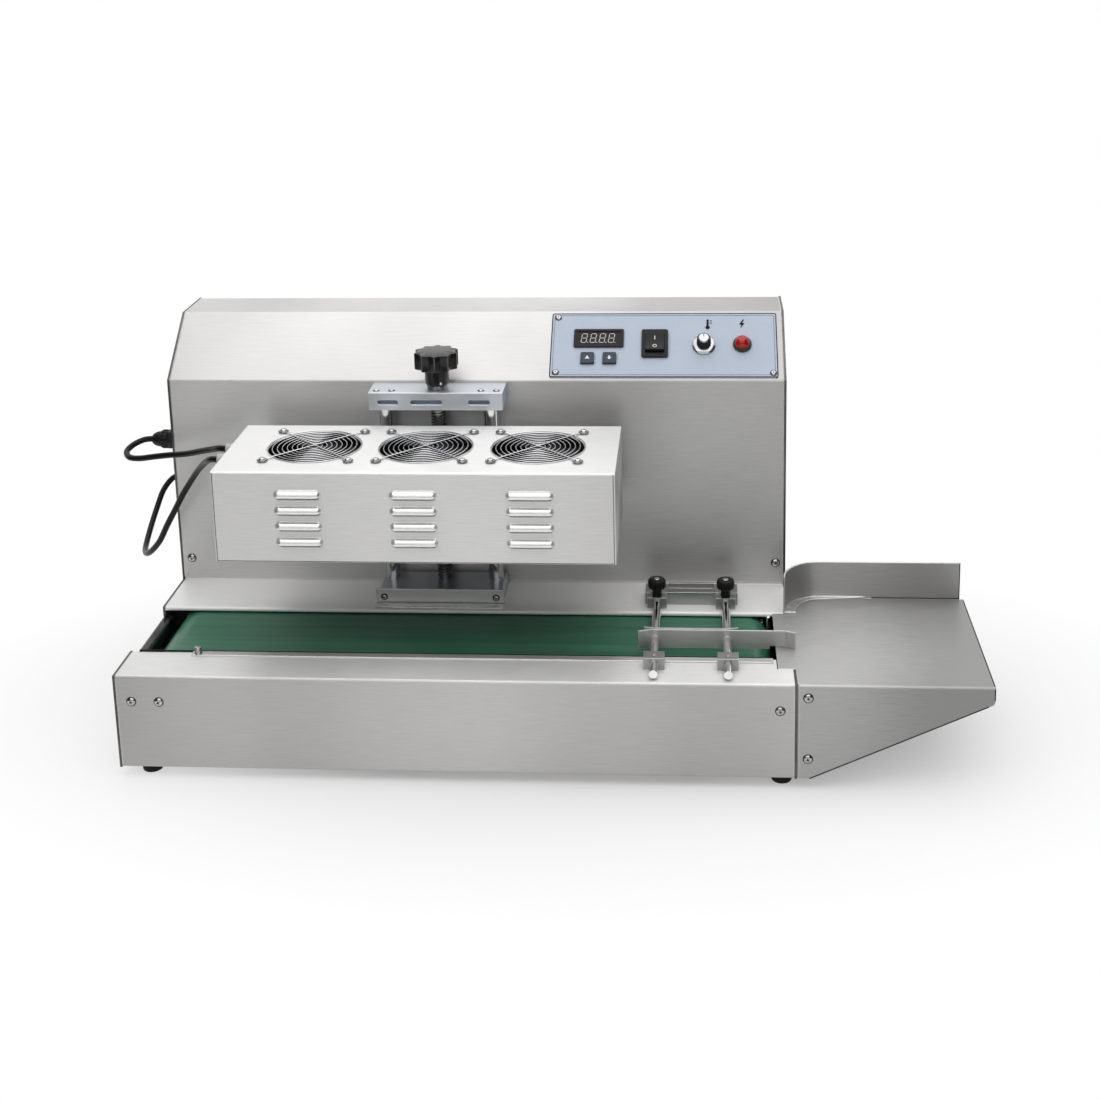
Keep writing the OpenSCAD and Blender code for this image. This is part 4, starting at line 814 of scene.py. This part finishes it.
UPPER_ROUTE = [(-34, 300, 326), (-46, 299, 325), (-58, 290, 321), (-62, 274, 317), (-53, 258, 315),
               (-36, 248, 317), (-14, 241, 322), (10, 234, 327), (36, 222, 333), (60, 207, 342),
               (82, 190, 351), (96, 177, 357), (106.5, 172, 358)]
LOWER_ROUTE = [(-34, 400, 236), (-46, 399, 232), (-57, 388, 218), (-61, 366, 199), (-61, 340, 185),
               (-59, 314, 174), (-54, 290, 170), (-44, 268, 174), (-30, 251, 186), (-14, 239, 205),
               (1, 229, 231), (17, 219, 257), (33, 208, 283), (49, 196, 306), (65, 180, 327),
               (81, 160, 344), (94, 142, 355), (106.5, 134, 358)]


def cable_gland():
    """Hexagon body, clamping ring with ribs, and a domed seal that the cable leaves by."""
    body = turned("gland_body", [
        (0, 34), (4.1, 34), (6.2, 33.4), (8.4, 30.6), (9.8, 27), (10.6, 22.5), (10.6, 21.6),
        (11.6, 21.2), (12, 20.4), (12, 12.4), (10.8, 12), (0, 12),
    ])
    nut = disc("gland_nut", 13.4, 6)
    nut.data.transform(shifted(0, 0, 3))
    shape(nut)
    push_out(9.2)
    clean()
    done()
    round_edges(nut, 0.8)
    washer = turned("gland_washer", [(0, 3.2), (12.6, 3.2), (13.4, 2.6), (13.5, 0.4), (13.2, 0), (0, 0)])
    rib = block("gland_rib", (1.4, 1.5, 7), (12, 0, 16.4))
    round_edges(rib, 0.4)
    ribs = repeated("gland_ribs", rib, around(16))
    for piece, finish in ((body, BLACK), (nut, BLACK), (ribs, BLACK), (washer, PALE)):
        paint(piece, finish)
    return together("tower_gland_set", [body, nut, ribs, washer])


for level, route in (("upper", UPPER_ROUTE), ("lower", LOWER_ROUTE)):
    gland = cable_gland()
    gland.name = f"{level}_tower_gland"
    settle(gland, None, "machine_frame", facing_left(0, *route[0][1:]), ["tower_glands"])
    cable(f"{level}_head_cable", route, f"{level}_cable")


# Screws
WASHER_THICK = 0.8
RECESS_TURNS = (20, 110)
ROUND_STEPS = 28


def pan_head(r, h, washer=0.0):
    """A pan head with a cross recess, seated on z = 0, on a washer if one is given; black painted shade
    lies in the recess and in a thin ring under the head.
    """
    z = WASHER_THICK if washer else 0.0
    head = turned("pan_head", [
        (0, z + h), (r * 0.3, z + h * 0.99), (r * 0.6, z + h * 0.9), (r * 0.82, z + h * 0.7),
        (r * 0.95, z + h * 0.42), (r, z + h * 0.15), (r, z), (0, z),
    ], ROUND_STEPS)
    fill = []
    for turn in RECESS_TURNS:
        bar = block("recess_bar", (r * 1.15, r * 0.26, h * 1.3), (0, 0, z + h * 1.05))
        shape(bar)
        choose(bar, lambda c, n: n.z < -0.9)
        swell(0.55, 0.7)
        done()
        bar.data.transform(turning(turn, "Z"))
        finish_with(head, "BOOLEAN", operation="DIFFERENCE", object=bar, solver="EXACT")
        bpy.data.objects.remove(bar, do_unlink=True)
        # Painted shade: a black bar at the bottom of each arm of the recess
        floor_bar = block("recess_shade", (r * 1.1, r * 0.25, h * 0.12), (0, 0, z + h * 0.42))
        floor_bar.data.transform(turning(turn, "Z"))
        fill.append(floor_bar)
    # Painted shadow: a thin black ring under the head
    rim = (washer or r) + 0.9
    seat = turned("screw_shadow_ring", [(0, 0.3), (rim - 0.3, 0.3), (rim, 0), (0, 0)], ROUND_STEPS)
    parts = [head]
    if washer:
        t = WASHER_THICK
        ring = [(0, t), (washer - 0.2, t), (washer, 0.6), (washer, 0), (0, 0)]
        parts.append(turned("washer", ring, ROUND_STEPS))
    for piece in parts:
        paint(piece, SCREW_STEEL)
    for piece in fill + [seat]:
        paint(piece, PRINT_AND_SHADE_BLACK)
    return together("pan_head", parts + fill + [seat])


BASE_SCREWS = [(x, 0, 100) for x in (21, 54.5, 795)]
TOWER_SCREWS = [(x, TOWER_FRONT_Y, 164.5) for x in (15, 802)]
APRON_SCREWS = [(827.5, 0, z) for z in (117, 39)]
REAR_SCREWS = [(x, REAR_Y, z) for x in (20, 407.5, 795) for z in (33, 416)]
PANEL_SCREWS = [(515.5, 98.5), (515.5, 12), (798.5, 11)]
FOOT_SCREWS = [(COLUMN_X + x, 206, 143) for x in (-73.5, 73.5)]
BRACKET_SCREWS = [(COLUMN_X + x, 243, 413) for x in (-78, -58, 58, 78)]
STRIP_POST_AT = (88, 58.75, 134.5)
big_places = (
    [facing_front(*p) for p in BASE_SCREWS + TOWER_SCREWS + APRON_SCREWS]
    + [facing_back(*p) for p in REAR_SCREWS]
)
small_places = (
    [on_panel(*p) for p in PANEL_SCREWS]
    + [facing_front(*p) for p in FOOT_SCREWS]
    + [spot(*p) for p in BRACKET_SCREWS]
)
post = turned("strip_post", [
    (0, 8.5), (3.2, 8.5), (3.9, 8.2), (4.2, 7.4), (4.2, 2.2), (4.5, 1.8), (4.5, 0), (0, 0),
], ROUND_STEPS)
paint(post, SCREW_STEEL)
screws = together("housing_screw_heads", [
    repeated("big_heads", pan_head(5.25, 2.8), big_places),
    repeated("small_heads", pan_head(3.8, 2.2), small_places),
    repeated("strip_post", post, [spot(*STRIP_POST_AT)]),
])
settle(screws, None, "machine_frame", stands_for=["housing_screws"])
fan_screws = [spot(x + i, FAN_Y + j, FAN_SCREW_Z) for x in FAN_X for i, j in FAN_CORNERS]
fan_heads = repeated("fan_screw_heads", pan_head(4.25, 2.4, 5.6), fan_screws)
settle(fan_heads, None, "sealing_head", stands_for=["fan_screws"])


# Fans
def fan_blade():
    """One swept blade with a twist, thick at its root."""
    fresh()
    bpy.ops.mesh.primitive_grid_add(x_subdivisions=10, y_subdivisions=6, size=1)
    blade = bpy.context.object
    root, span, middle = 18.5, 36, 13
    for v in blade.data.vertices:
        t, s = v.co.x + 0.5, v.co.y
        r = root + t * span
        a = s * math.radians(46 - 4 * t) + 0.28 * t * t
        z = 9.5 * s * (1.25 - 0.5 * t) - 3.2 * (s * s - 0.25)
        v.co = (r * math.cos(a) * MM, r * math.sin(a) * MM, (middle + z) * MM)
    finish_with(blade, "SOLIDIFY", thickness=1.6 * MM, offset=0)
    round_edges(blade, 0.35)
    return blade


def fan_rotor():
    """Hub, pin and seven blades."""
    hub = turned("fan_hub", [
        (0, 23), (14, 23), (18.6, 22.6), (19.7, 21.4), (20, 19), (20, 3.8), (0, 3.8),
    ], 48)
    pin = turned("fan_pin", [(0, 4), (2.9, 4), (2.9, 0.2), (0, 0.2)], 16)
    return together("fan_rotor", [hub, pin, repeated("fan_blades", fan_blade(), around(7))])


rotor = fan_rotor()
for i, x in enumerate(FAN_X, 1):
    wheel = twin_of(rotor, f"fan_wheel_{i}")
    settle(wheel, BLACK, f"fan_{i}", spot(x, FAN_Y, ROTOR_Z), [f"fan_rotor_{i}"])
bpy.data.objects.remove(rotor, do_unlink=True)


def wire_ring(radius, wire, height, segments):
    """A closed ring of round wire."""
    fresh()
    bpy.ops.mesh.primitive_torus_add(major_radius=radius * MM, minor_radius=wire * MM, minor_segments=8,
                                     major_segments=segments, location=(0, 0, height * MM))
    bpy.ops.object.transform_apply(location=True, rotation=True, scale=True)
    return bpy.context.object


def fan_guard():
    """Thin rings under two crossed wires, which end in eyes under the fan's screws."""
    pitch = 6.105
    rings = [wire_ring(pitch * (k + 0.5), 0.7, 1.0, 72) for k in range(1, 10)]
    line = [(-70.2, 1.3), (-63, 1.8), (-58, 2.3), (58, 2.3), (63, 1.8), (70.2, 1.3)]
    wires = []
    for turn in (45, 135):
        wire = tube("guard_cross_wire", [Vector((x, 0, z)) * MM for x, z in line], 0.9)
        wire.data.transform(turning(turn, "Z"))
        wires.append(wire)
    corners = [shifted(i, j, 0) for i, j in FAN_CORNERS]
    eyes = repeated("guard_eyes", wire_ring(4.3, 0.85, 1.3, 32), corners)
    return together("fan_guard", rings + wires + [eyes])


guards = repeated("fan_guard_set", fan_guard(), [spot(x, FAN_Y, HEAD_TOP_Z) for x in FAN_X])
settle(guards, GUARD_WIRE, "sealing_head", stands_for=["fan_guards"], smooth=60)


# Lift screw and its star knob
THREAD_PITCH = 4
THREAD_FOOT_Z = 150.4


def lead_thread():
    """Trapezoidal thread, wound from one pitch of its outline."""
    line = [(8.0, 0), (8.0, 1.1), (9.9, 1.7), (9.9, 3.0), (8.0, 3.6), (8.0, THREAD_PITCH)]
    thread = drawn("lead_thread", line)
    done()
    finish_with(thread, "SCREW", angle=2 * math.pi, screw_offset=THREAD_PITCH * MM, iterations=59, steps=24,
                render_steps=24, axis="Z", use_merge_vertices=True, merge_threshold=0.00002)
    shape(thread)
    clean()
    done()
    return thread


thread = lead_thread()
thread.data.transform(shifted(0, 0, THREAD_FOOT_Z))
core = turned("screw_core", [
    (0, 433), (7, 433), (7, COLLAR_TOP_Z), (12.6, COLLAR_TOP_Z), (13.3, 418.6), (13.4, 417.6),
    (13.4, 415), (13.1, 414), (12.4, 413.4), (7, 413.4), (7, 388.8), (8.05, 388.6), (8.05, 150.6),
    (7, THREAD_FOOT_Z), (7, 136.2), (0, 136.2),
])
lift = together("lift_screw_thread", [thread, core])
settle(lift, THREAD_STEEL, "lift_screw", spot(COLUMN_X, COLUMN_Y, 0), ["lead_screw"], 30)


KNOB_RADIUS, FLUTE_DEPTH, FLUTE_TURN = 29.4, 4.6, math.radians(21.6)
RIDGE_RADIUS = 28.5


def star_knob():
    """A moulded hand knob with ten scalloped flutes, a flat crowned top, a hub and its grub screw; painted
    sheen on its top and painted highlights on its crown and ridges.
    """
    def flute(a):
        return KNOB_RADIUS - FLUTE_DEPTH * math.sqrt(math.sin(5 * (a - FLUTE_TURN)) ** 2 + 0.012)

    sides = [(0.7, 1.035), (0.9, 1.017), (19.0, 1.0), (0.9, 0.99), (0.6, 0.975)]
    crown = [(0.3, 0.96), (0.5, 0.9), (0.5, 0.8), (0.35, 0.6)]
    head = fluted("star_knob", 29, 240, flute, 0.95, sides + crown, 21.5)
    hub = turned("knob_hub", [
        (0, 23.5), (17.2, 23), (16, 21.3), (15.5, 19.5), (15.5, 1.4), (14.8, 0.3), (14, 0), (0, 0),
    ])
    pin = turned("grub_screw", [(0, 1.5), (1.1, 1.3), (1.7, 0.6), (1.7, -1), (0, -1)], 20)
    turn = turning(-64, "Z") @ turning(90, "Y")
    pin.data.transform(shifted(0, 0, 3.4) @ turn @ shifted(0, 0, 15))
    paint(head, GLOSS_BLACK, KNOB_TOP_PAINTED_SHEEN, KNOB_RIDGE_PAINTED_HIGHLIGHT)
    paint(hub, GLOSS_BLACK)
    paint(pin, CHROME)
    # Painted light: top faces take the sheen finish, the crown's slopes and the flute ridges the highlight
    # finish
    for face in head.data.polygons:
        reach = face.center.xy.length / MM
        if face.normal.z > 0.9:
            face.material_index = 1
        elif face.normal.z > 0.3 or reach > RIDGE_RADIUS:
            face.material_index = 2
    return together("star_knob", [head, hub, pin])


knob_place = spot(COLUMN_X, COLUMN_Y, COLLAR_TOP_Z)
settle(star_knob(), None, "lift_screw", knob_place, ["lift_knob"], 40)


# Control panel: printed frame, icons, keys, display, switch, dial and lamp, with the heights of print
FRAME_H = 0.12
MARK_H = 0.15
SEGMENT_H = 0.2
ICON_SCALE = Matrix.Scale(1.3, 4)


def flat_frame(name, w, h, r, line):
    """A thin rounded outline, raised a little off the face that carries it."""
    fresh()
    bpy.ops.mesh.primitive_plane_add(size=1)
    piece = bpy.context.object
    piece.name = name
    piece.scale = (w * MM, h * MM, 1)
    bpy.ops.object.transform_apply(location=True, rotation=True, scale=True)
    shape(piece)
    bpy.ops.mesh.select_mode(type="VERT")
    bpy.ops.mesh.select_all(action="SELECT")
    bpy.ops.mesh.bevel(offset=r * MM, segments=6, affect="VERTICES")
    bpy.ops.mesh.select_mode(type="FACE")
    bpy.ops.mesh.select_all(action="SELECT")
    bpy.ops.mesh.inset(thickness=line * MM)
    bpy.ops.mesh.delete(type="FACE")
    bpy.ops.mesh.select_all(action="SELECT")
    push_out(FRAME_H)
    clean()
    done()
    return piece


for name, w, h, r, line in (("panel_line_outer", 297.4, 100.8, 2.5, 1.2),
                            ("panel_line_inner", 290.6, 94, 2, 0.45)):
    settle(flat_frame(name, w, h, r, line), PRINT_AND_SHADE_BLACK, "machine_frame", on_panel(*PANEL_MIDDLE))


def thermometer():
    """A plain thermometer sign: bulb, stem and three scale strokes."""
    bulb = raised_disc("icon_bulb", 2.3, 24, MARK_H)
    stem = outline("icon_stem", [
        (-1.1, 1.4), (1.1, 1.4), (1.1, 9), (0.6, 9.9), (-0.6, 9.9), (-1.1, 9),
    ], MARK_H)
    strokes = [
        outline("icon_stroke", [(2, z), (4.2, z), (4.2, z + 0.7), (2, z + 0.7)], MARK_H)
        for z in (4, 6, 8)
    ]
    return together("panel_thermometer", [bulb, stem] + strokes)


settle(thermometer(), PRINT_AND_SHADE_BLACK, "machine_frame", on_panel(*THERMOMETER_AT) @ ICON_SCALE)
bolt = outline("panel_bolt", [
    (1.2, 5.5), (-3, -0.8), (-0.4, -0.8), (-1.6, -5.8), (3, 1), (0.4, 1), (2.6, 5.5),
], MARK_H)
settle(bolt, PRINT_AND_SHADE_BLACK, "machine_frame", on_panel(*BOLT_AT) @ ICON_SCALE)


def digit():
    """One seven-segment figure with its point, slanted."""
    def bar(x, y, along):
        half, w = 3.5, 0.62
        points = [(-half, 0), (-half + w, w), (half - w, w), (half, 0), (half - w, -w), (-half + w, -w)]
        if not along:
            points = [(-q, p) for p, q in points]
        return outline("segment", [(x + p, y + q) for p, q in points], SEGMENT_H)

    bars = [bar(0, y, True) for y in (-8, 0, 8)] + [bar(x, y, False) for x in (-4, 4) for y in (-4, 4)]
    point = raised_disc("segment_point", 0.9, 16, SEGMENT_H)
    point.data.transform(shifted(6.4, -8, 0))
    figure = together("digit", bars + [point])
    slant = Matrix.Identity(4)
    slant[0][1] = 0.14
    figure.data.transform(slant)
    return figure


digit_places = [
    on_panel(DISPLAY_X + x, DISPLAY_U, 1.66) @ Matrix.Scale(0.86, 4) for x in (-19.2, -7.2, 4.8, 16.8)
]
digits = repeated("display_digits", digit(), digit_places)
settle(digits, DIGIT, "machine_frame")

KEY_TOP = 4.0
up_mark = outline("key_up_mark", [(-4, -2.6), (4, -2.6), (0, 4)], MARK_H)
up_place = on_panel(UP_KEY_X, KEY_U, KEY_TOP) @ Matrix.Scale(0.78, 4)
settle(up_mark, WHITE_MARK, "up_key", up_place)
down_mark = outline("key_down_mark", [
    (0, -4.6), (4.2, 0), (1.6, 0), (1.6, 4), (-1.6, 4), (-1.6, 0), (-4.2, 0),
], MARK_H)
down_place = on_panel(DOWN_KEY_X, KEY_U, KEY_TOP) @ Matrix.Scale(0.72, 4)
settle(down_mark, WHITE_MARK, "down_key", down_place)


def dial():
    """Silver skirt, fluted black grip and a bright cap with a pointer line."""
    skirt = turned("dial_skirt", [
        (0, 3.2), (10.3, 3.2), (11, 3), (15, 1.7), (15.5, 1.2), (15.5, 0.4), (15.2, 0.3), (0, 0.3),
    ], 64)
    steps = [(3.2, 1.0), (9.6, 0.95), (1.4, 0.985), (0.7, 0.95), (0.2, 0.9)]
    grip = fluted("dial_grip", 9.5, 144, lambda a: 9.1 + 0.4 * math.cos(18 * a), 1.0, steps, 1.6)
    cap = turned("dial_cap", [(0, 18.2), (5.6, 18.0), (6.6, 17.6), (7.1, 16.9), (7.2, 16), (0, 16)], 48)
    line = outline("dial_line", [(-0.45, 1), (0.45, 1), (0.45, 6.4), (-0.45, 6.4)], MARK_H)
    line.data.transform(shifted(0, 0, 18.0))
    for piece, finish in ((skirt, DIAL_SILVER), (grip, BLACK), (cap, DIAL_SILVER), (line, PRINT_AND_SHADE_BLACK)):
        paint(piece, finish)
    return together("dial_set", [skirt, grip, cap, line])


settle(dial(), None, "dial", on_panel(*DIAL_AT), ["dial_knob"])


def lamp():
    """Threaded green ring and a smooth red dome."""
    ring = turned("lamp_ring", [
        (10.4, 4.0), (11.2, 4.2), (11.8, 3.7), (12.2, 2.8), (12.2, 0.3), (11.9, 0), (10.2, 0),
        (10.2, 4.0), (10.4, 4.0),
    ], 48)
    dome = turned("lamp_dome", [
        (0, 14.4), (2.8, 14.0), (5.4, 12.9), (7.5, 11.1), (9.0, 8.8), (9.8, 6.4), (10.0, 4.2),
        (10.0, 1), (0, 1),
    ], 48)
    paint(ring, GREEN_RING)
    paint(dome, RED)
    return together("lamp_set", [dome, ring])


settle(lamp(), None, "machine_frame", on_panel(*LAMP_AT), ["indicator_lamp"], 50)


ROCKER_SIZE = (24.6, 28.4, 8.4)
ROCKER_DISH_Z, ROCKER_RISE = 3.5, 2.1


def rocker_top(y):
    """Height of the rocker's dished top in millimetres, at a place along it in metres."""
    return ROCKER_DISH_Z + ROCKER_RISE * abs(y / MM / (ROCKER_SIZE[1] / 2)) ** 1.6


def rocker():
    """Curved rocker with a shallow dish, tipped with its lower end proud."""
    piece = block("rocker", ROCKER_SIZE, (0, 0, 1.2))
    shape(piece)
    bpy.ops.mesh.subdivide(number_cuts=7)
    done()
    for v in piece.data.vertices:
        if v.co.z > 3 * MM:
            v.co.z = rocker_top(v.co.y) * MM
    round_edges(piece, 0.7, 3, 50)
    mark_i = outline("rocker_on", [(-0.5, 4.2), (0.5, 4.2), (0.5, 10), (-0.5, 10)], 0.2)
    mark_o = disc("rocker_off", 2.9, 32)
    shape(mark_o)
    bpy.ops.mesh.inset(thickness=0.9 * MM)
    bpy.ops.mesh.delete(type="FACE")
    bpy.ops.mesh.select_all(action="SELECT")
    push_out(0.2)
    clean()
    done()
    mark_o.data.transform(shifted(0, -7.2, 0))
    for mark in (mark_i, mark_o):
        shape(mark)
        bpy.ops.mesh.subdivide(number_cuts=2)
        done()
        for v in mark.data.vertices:
            v.co.z += (rocker_top(v.co.y) + 0.02) * MM
        paint(mark, WHITE_MARK)
    paint(piece, BLACK)
    return together("rocker_set", [piece, mark_i, mark_o])


tipped = on_panel(*SWITCH_AT, 1) @ turning(-8, "X")
settle(rocker(), None, "power_rocker", tipped, ["switch_rocker"])


# Thumb knobs of the bottle guides
def thumb_knob():
    """Fluted head on a stem, with a bright plug in its top."""
    def flute(a):
        return 10.7 + 0.8 * abs(math.cos(6 * a)) ** 0.7

    steps = [(0.8, 1.05), (0.8, 1.02), (6.6, 1.0), (1.8, 0.97), (1.2, 0.93), (0.6, 0.86), (0.2, 0.6)]
    head = fluted("thumb_knob", 11.5, 144, flute, 0.93, steps, 12.7)
    stem = turned("thumb_stem", [
        (0, 13.5), (7.6, 13.2), (6.4, 11.4), (6, 9.8), (6, 1.2), (5.4, 0.4), (2.9, 0.3), (2.9, -1.9),
        (0, -1.9),
    ])
    plug = turned("thumb_plug", [(0, 25.1), (3.4, 25.1), (3.9, 24.7), (3.9, 23.5), (0, 23.5)], 24)
    for piece, finish in ((head, BLACK), (stem, BLACK), (plug, SCREW_STEEL)):
        paint(piece, finish)
    return together("thumb_knob", [head, stem, plug])


knob = thumb_knob()
for side, x in zip(("left", "right"), ROD_X):
    twin = twin_of(knob, f"thumb_knob_{side}")
    seat = spot(x, THUMB_SEAT_Y, THUMB_SEAT_Z)
    settle(twin, None, f"thumb_screw_{side}", seat, [f"guide_knob_{side}"])
bpy.data.objects.remove(knob, do_unlink=True)

# Rubber feet
foot = turned("rubber_foot", [
    (0, 5.2), (4.3, 5.2), (4.3, 0.8), (4.8, 0), (10.9, 0), (11.7, 0.4), (12.3, 1.5), (13.3, 10.4),
    (13.5, 11.6), (13.2, 12.6), (12.4, 13), (0, 13),
])
feet = repeated("rubber_feet_set", foot, [spot(x, y, 0) for x in FOOT_X for y in FOOT_Y])
settle(feet, RUBBER, "machine_frame", stands_for=["rubber_feet"])


# Trim: dark strips and lines of painted shadow in gaps and along edges, dark joint lines, a near-white
# strip of painted highlight, and a small chrome bead
def strip(name, size, place):
    """A box of a size in millimetres at a place on the machine."""
    return block(name, size, [c - o for c, o in zip(place, FRAME_ORIGIN)])


def trim(name, size, place, edge, finish, segments=2):
    """A strip with rounded edges on the fixed frame."""
    piece = strip(name, size, place)
    round_edges(piece, edge, segments)
    settle(piece, finish, "machine_frame")


# Painted shadow: a black strip in the gap between base and table
trim("table_joint_shadow_strip", (1.2, 234, 116), (815.75, 121, 74), 0.3, RUBBER)
# Dark joint lines near the head's front corners, and along its foot a dark line of painted shadow
joint_y = HEAD_FRONT_Y - 0.05
joints = together("head_joint_and_shadow_lines", [
    strip("joint_left", (0.9, 0.3, 112), (122.6, joint_y, 315)),
    strip("joint_right", (0.9, 0.3, 112), (601.4, joint_y, 315)),
    strip("foot_shadow_line", (480, 0.3, 0.9), (362, joint_y, 258.9)),
])
round_edges(joints, 0.1)
settle(joints, DARK_JOINT_AND_EDGE_SHADE, "sealing_head")
# Painted highlight: a near-white strip along the foot bracket's lower bend
trim("foot_bracket_highlight_strip", (167, 13.4, 2.4), (COLUMN_X, 199.2, 134.3), 1.0, STEEL_PAINTED_HIGHLIGHT, 3)
# Painted shadow: a thin black strip along the belt's front edge
trim("belt_front_shadow_strip", (764, 1.9, 2.0), (394, 65.05, 134.0), 0.4, RUBBER)
# Painted shadow: thin black lines along the apron's slanted edge, the table's end, and the fence's foot and
# end
LINE_W = 1.4
APRON_RISE, APRON_RUN = 99, 212.5
line_x = TABLE_END_X - LINE_W / 2
slant_line = block("apron_slant_line", (226, 0.4, LINE_W))
slant = Matrix.Rotation(-math.atan2(APRON_RISE, APRON_RUN), 4, "Y")
slant_line.data.transform(spot(932, 0, 61.5) @ slant)
table_lines = together("table_edge_shadow_lines", [
    slant_line,
    strip("apron_end_line", (LINE_W, 0.4, 14), (line_x, 0, 124)),
    strip("table_end_line", (LINE_W, 230, 0.3), (line_x, 119, DECK_Z)),
    strip("fence_foot_line", (113, 0.8, 1.2), (980.5, FENCE_FRONT_Y - 0.2, DECK_Z + 0.6)),
    strip("fence_end_line", (1.2, 0.3, 49.6), (FENCE_END_X - 0.6, FENCE_FRONT_Y, DECK_Z + 25)),
])
round_edges(table_lines, 0.1)
settle(table_lines, PRINT_AND_SHADE_BLACK, "machine_frame")
trim("ledge_end_bead", (5, 4, 21), (789, 188.4, 119), 1.8, CHROME, 4)


# Floor, light and background, in metres
FLOOR_SIZE = 30
FLOOR_FADE = (0.36, 0.78)


def seen_as_backdrop(tree):
    """One for rays that see the background, straight or in metal and glass, and nought for lighting."""
    rays = tree.nodes.new("ShaderNodeLightPath")
    mirrored = calc(tree, "MAXIMUM", rays.outputs["Is Glossy Ray"], rays.outputs["Is Transmission Ray"])
    return calc(tree, "MAXIMUM", rays.outputs["Is Camera Ray"], mirrored)


fresh()
bpy.ops.mesh.primitive_plane_add(size=FLOOR_SIZE, location=(0, 0, 0))
floor = bpy.context.object
floor.name = "floor"
floor_finish = Finish("pale_floor")
floor_finish.fixed(Base_Color=(0.84, 0.84, 0.84), Roughness=0.9)
tree = floor_finish.tree
glow = tree.nodes.new("ShaderNodeEmission")
join = tree.nodes.new("ShaderNodeMixShader")
away = tree.nodes.new("ShaderNodeVectorMath")
away.operation = "LENGTH"
tree.links.new(floor_finish.stretch((0.9, 1.6, 1)), away.inputs[0])
whiten = spread(tree, away.outputs["Value"], 0.25, 1.0, *FLOOR_FADE)
tree.links.new(calc(tree, "MULTIPLY", whiten, seen_as_backdrop(tree)), join.inputs[0])
tree.links.new(floor_finish.shader.outputs[0], join.inputs[1])
tree.links.new(glow.outputs[0], join.inputs[2])
tree.links.new(join.outputs[0], tree.nodes["Material Output"].inputs["Surface"])
floor.data.materials.append(floor_finish.material)

world = bpy.data.worlds.new("studio")
scene.world = world
world.use_nodes = True
tree = world.node_tree
sky = tree.nodes["Background"]
sky.inputs["Color"].default_value = (1, 1, 1, 1)
way = tree.nodes.new("ShaderNodeSeparateXYZ")
tree.links.new(tree.nodes.new("ShaderNodeTexCoord").outputs["Generated"], way.inputs[0])
height = spread(tree, way.outputs["Z"], 0.25, 0.75)
across = spread(tree, way.outputs["X"], 1.08, 0.8, -0.6, 0.8)
tent = calc(tree, "MULTIPLY", height, across)
clear = seen_as_backdrop(tree)
lit = calc(tree, "MULTIPLY", tent, calc(tree, "SUBTRACT", 1.0, clear))
tree.links.new(calc(tree, "ADD", lit, clear), sky.inputs["Strength"])


def softbox(name, place, aim, size, power):
    """A rectangular lamp at a place, turned towards its aim."""
    data = bpy.data.lights.new(name, "AREA")
    data.shape = "RECTANGLE"
    data.size, data.size_y = size
    data.energy = power
    light = bpy.data.objects.new(name, data)
    scene.collection.objects.link(light)
    light.location = place
    light.rotation_euler = (Vector(aim) - Vector(place)).to_track_quat("-Z", "Y").to_euler()


softbox("top_light", (0.1, -0.1, 2.4), (0.1, -0.1, 0.2), (3.2, 3.6), 42)
softbox("key_light", (-1.9, -1.6, 2.2), (0, 0, 0.2), (1.2, 1.0), 6)

# Dark cards out of the picture, which draw the dark lines along bright metal
card_finish = Finish("dark_card")
card_finish.fixed(Base_Color=(0.03, 0.03, 0.03), Roughness=0.8)
for name, place, turn, size in (("left_card", (-1.15, -0.8, 0.9), (0, 90, 0), (1.8, 1.9)),
                                ("right_card", (1.3, -0.8, 0.9), (0, 90, 0), (1.8, 1.9)),
                                ("front_card", (0.1, -3.4, 0.55), (90, 0, 0), (4.5, 0.7))):
    fresh()
    bpy.ops.mesh.primitive_plane_add(size=1, location=place, rotation=[math.radians(a) for a in turn])
    card = bpy.context.object
    card.name = name
    card.scale = (*size, 1)
    bpy.ops.object.transform_apply(location=True, rotation=True, scale=True)
    card.data.materials.append(card_finish.material)
    card.visible_camera = False
    card.visible_shadow = False
    card.visible_diffuse = False
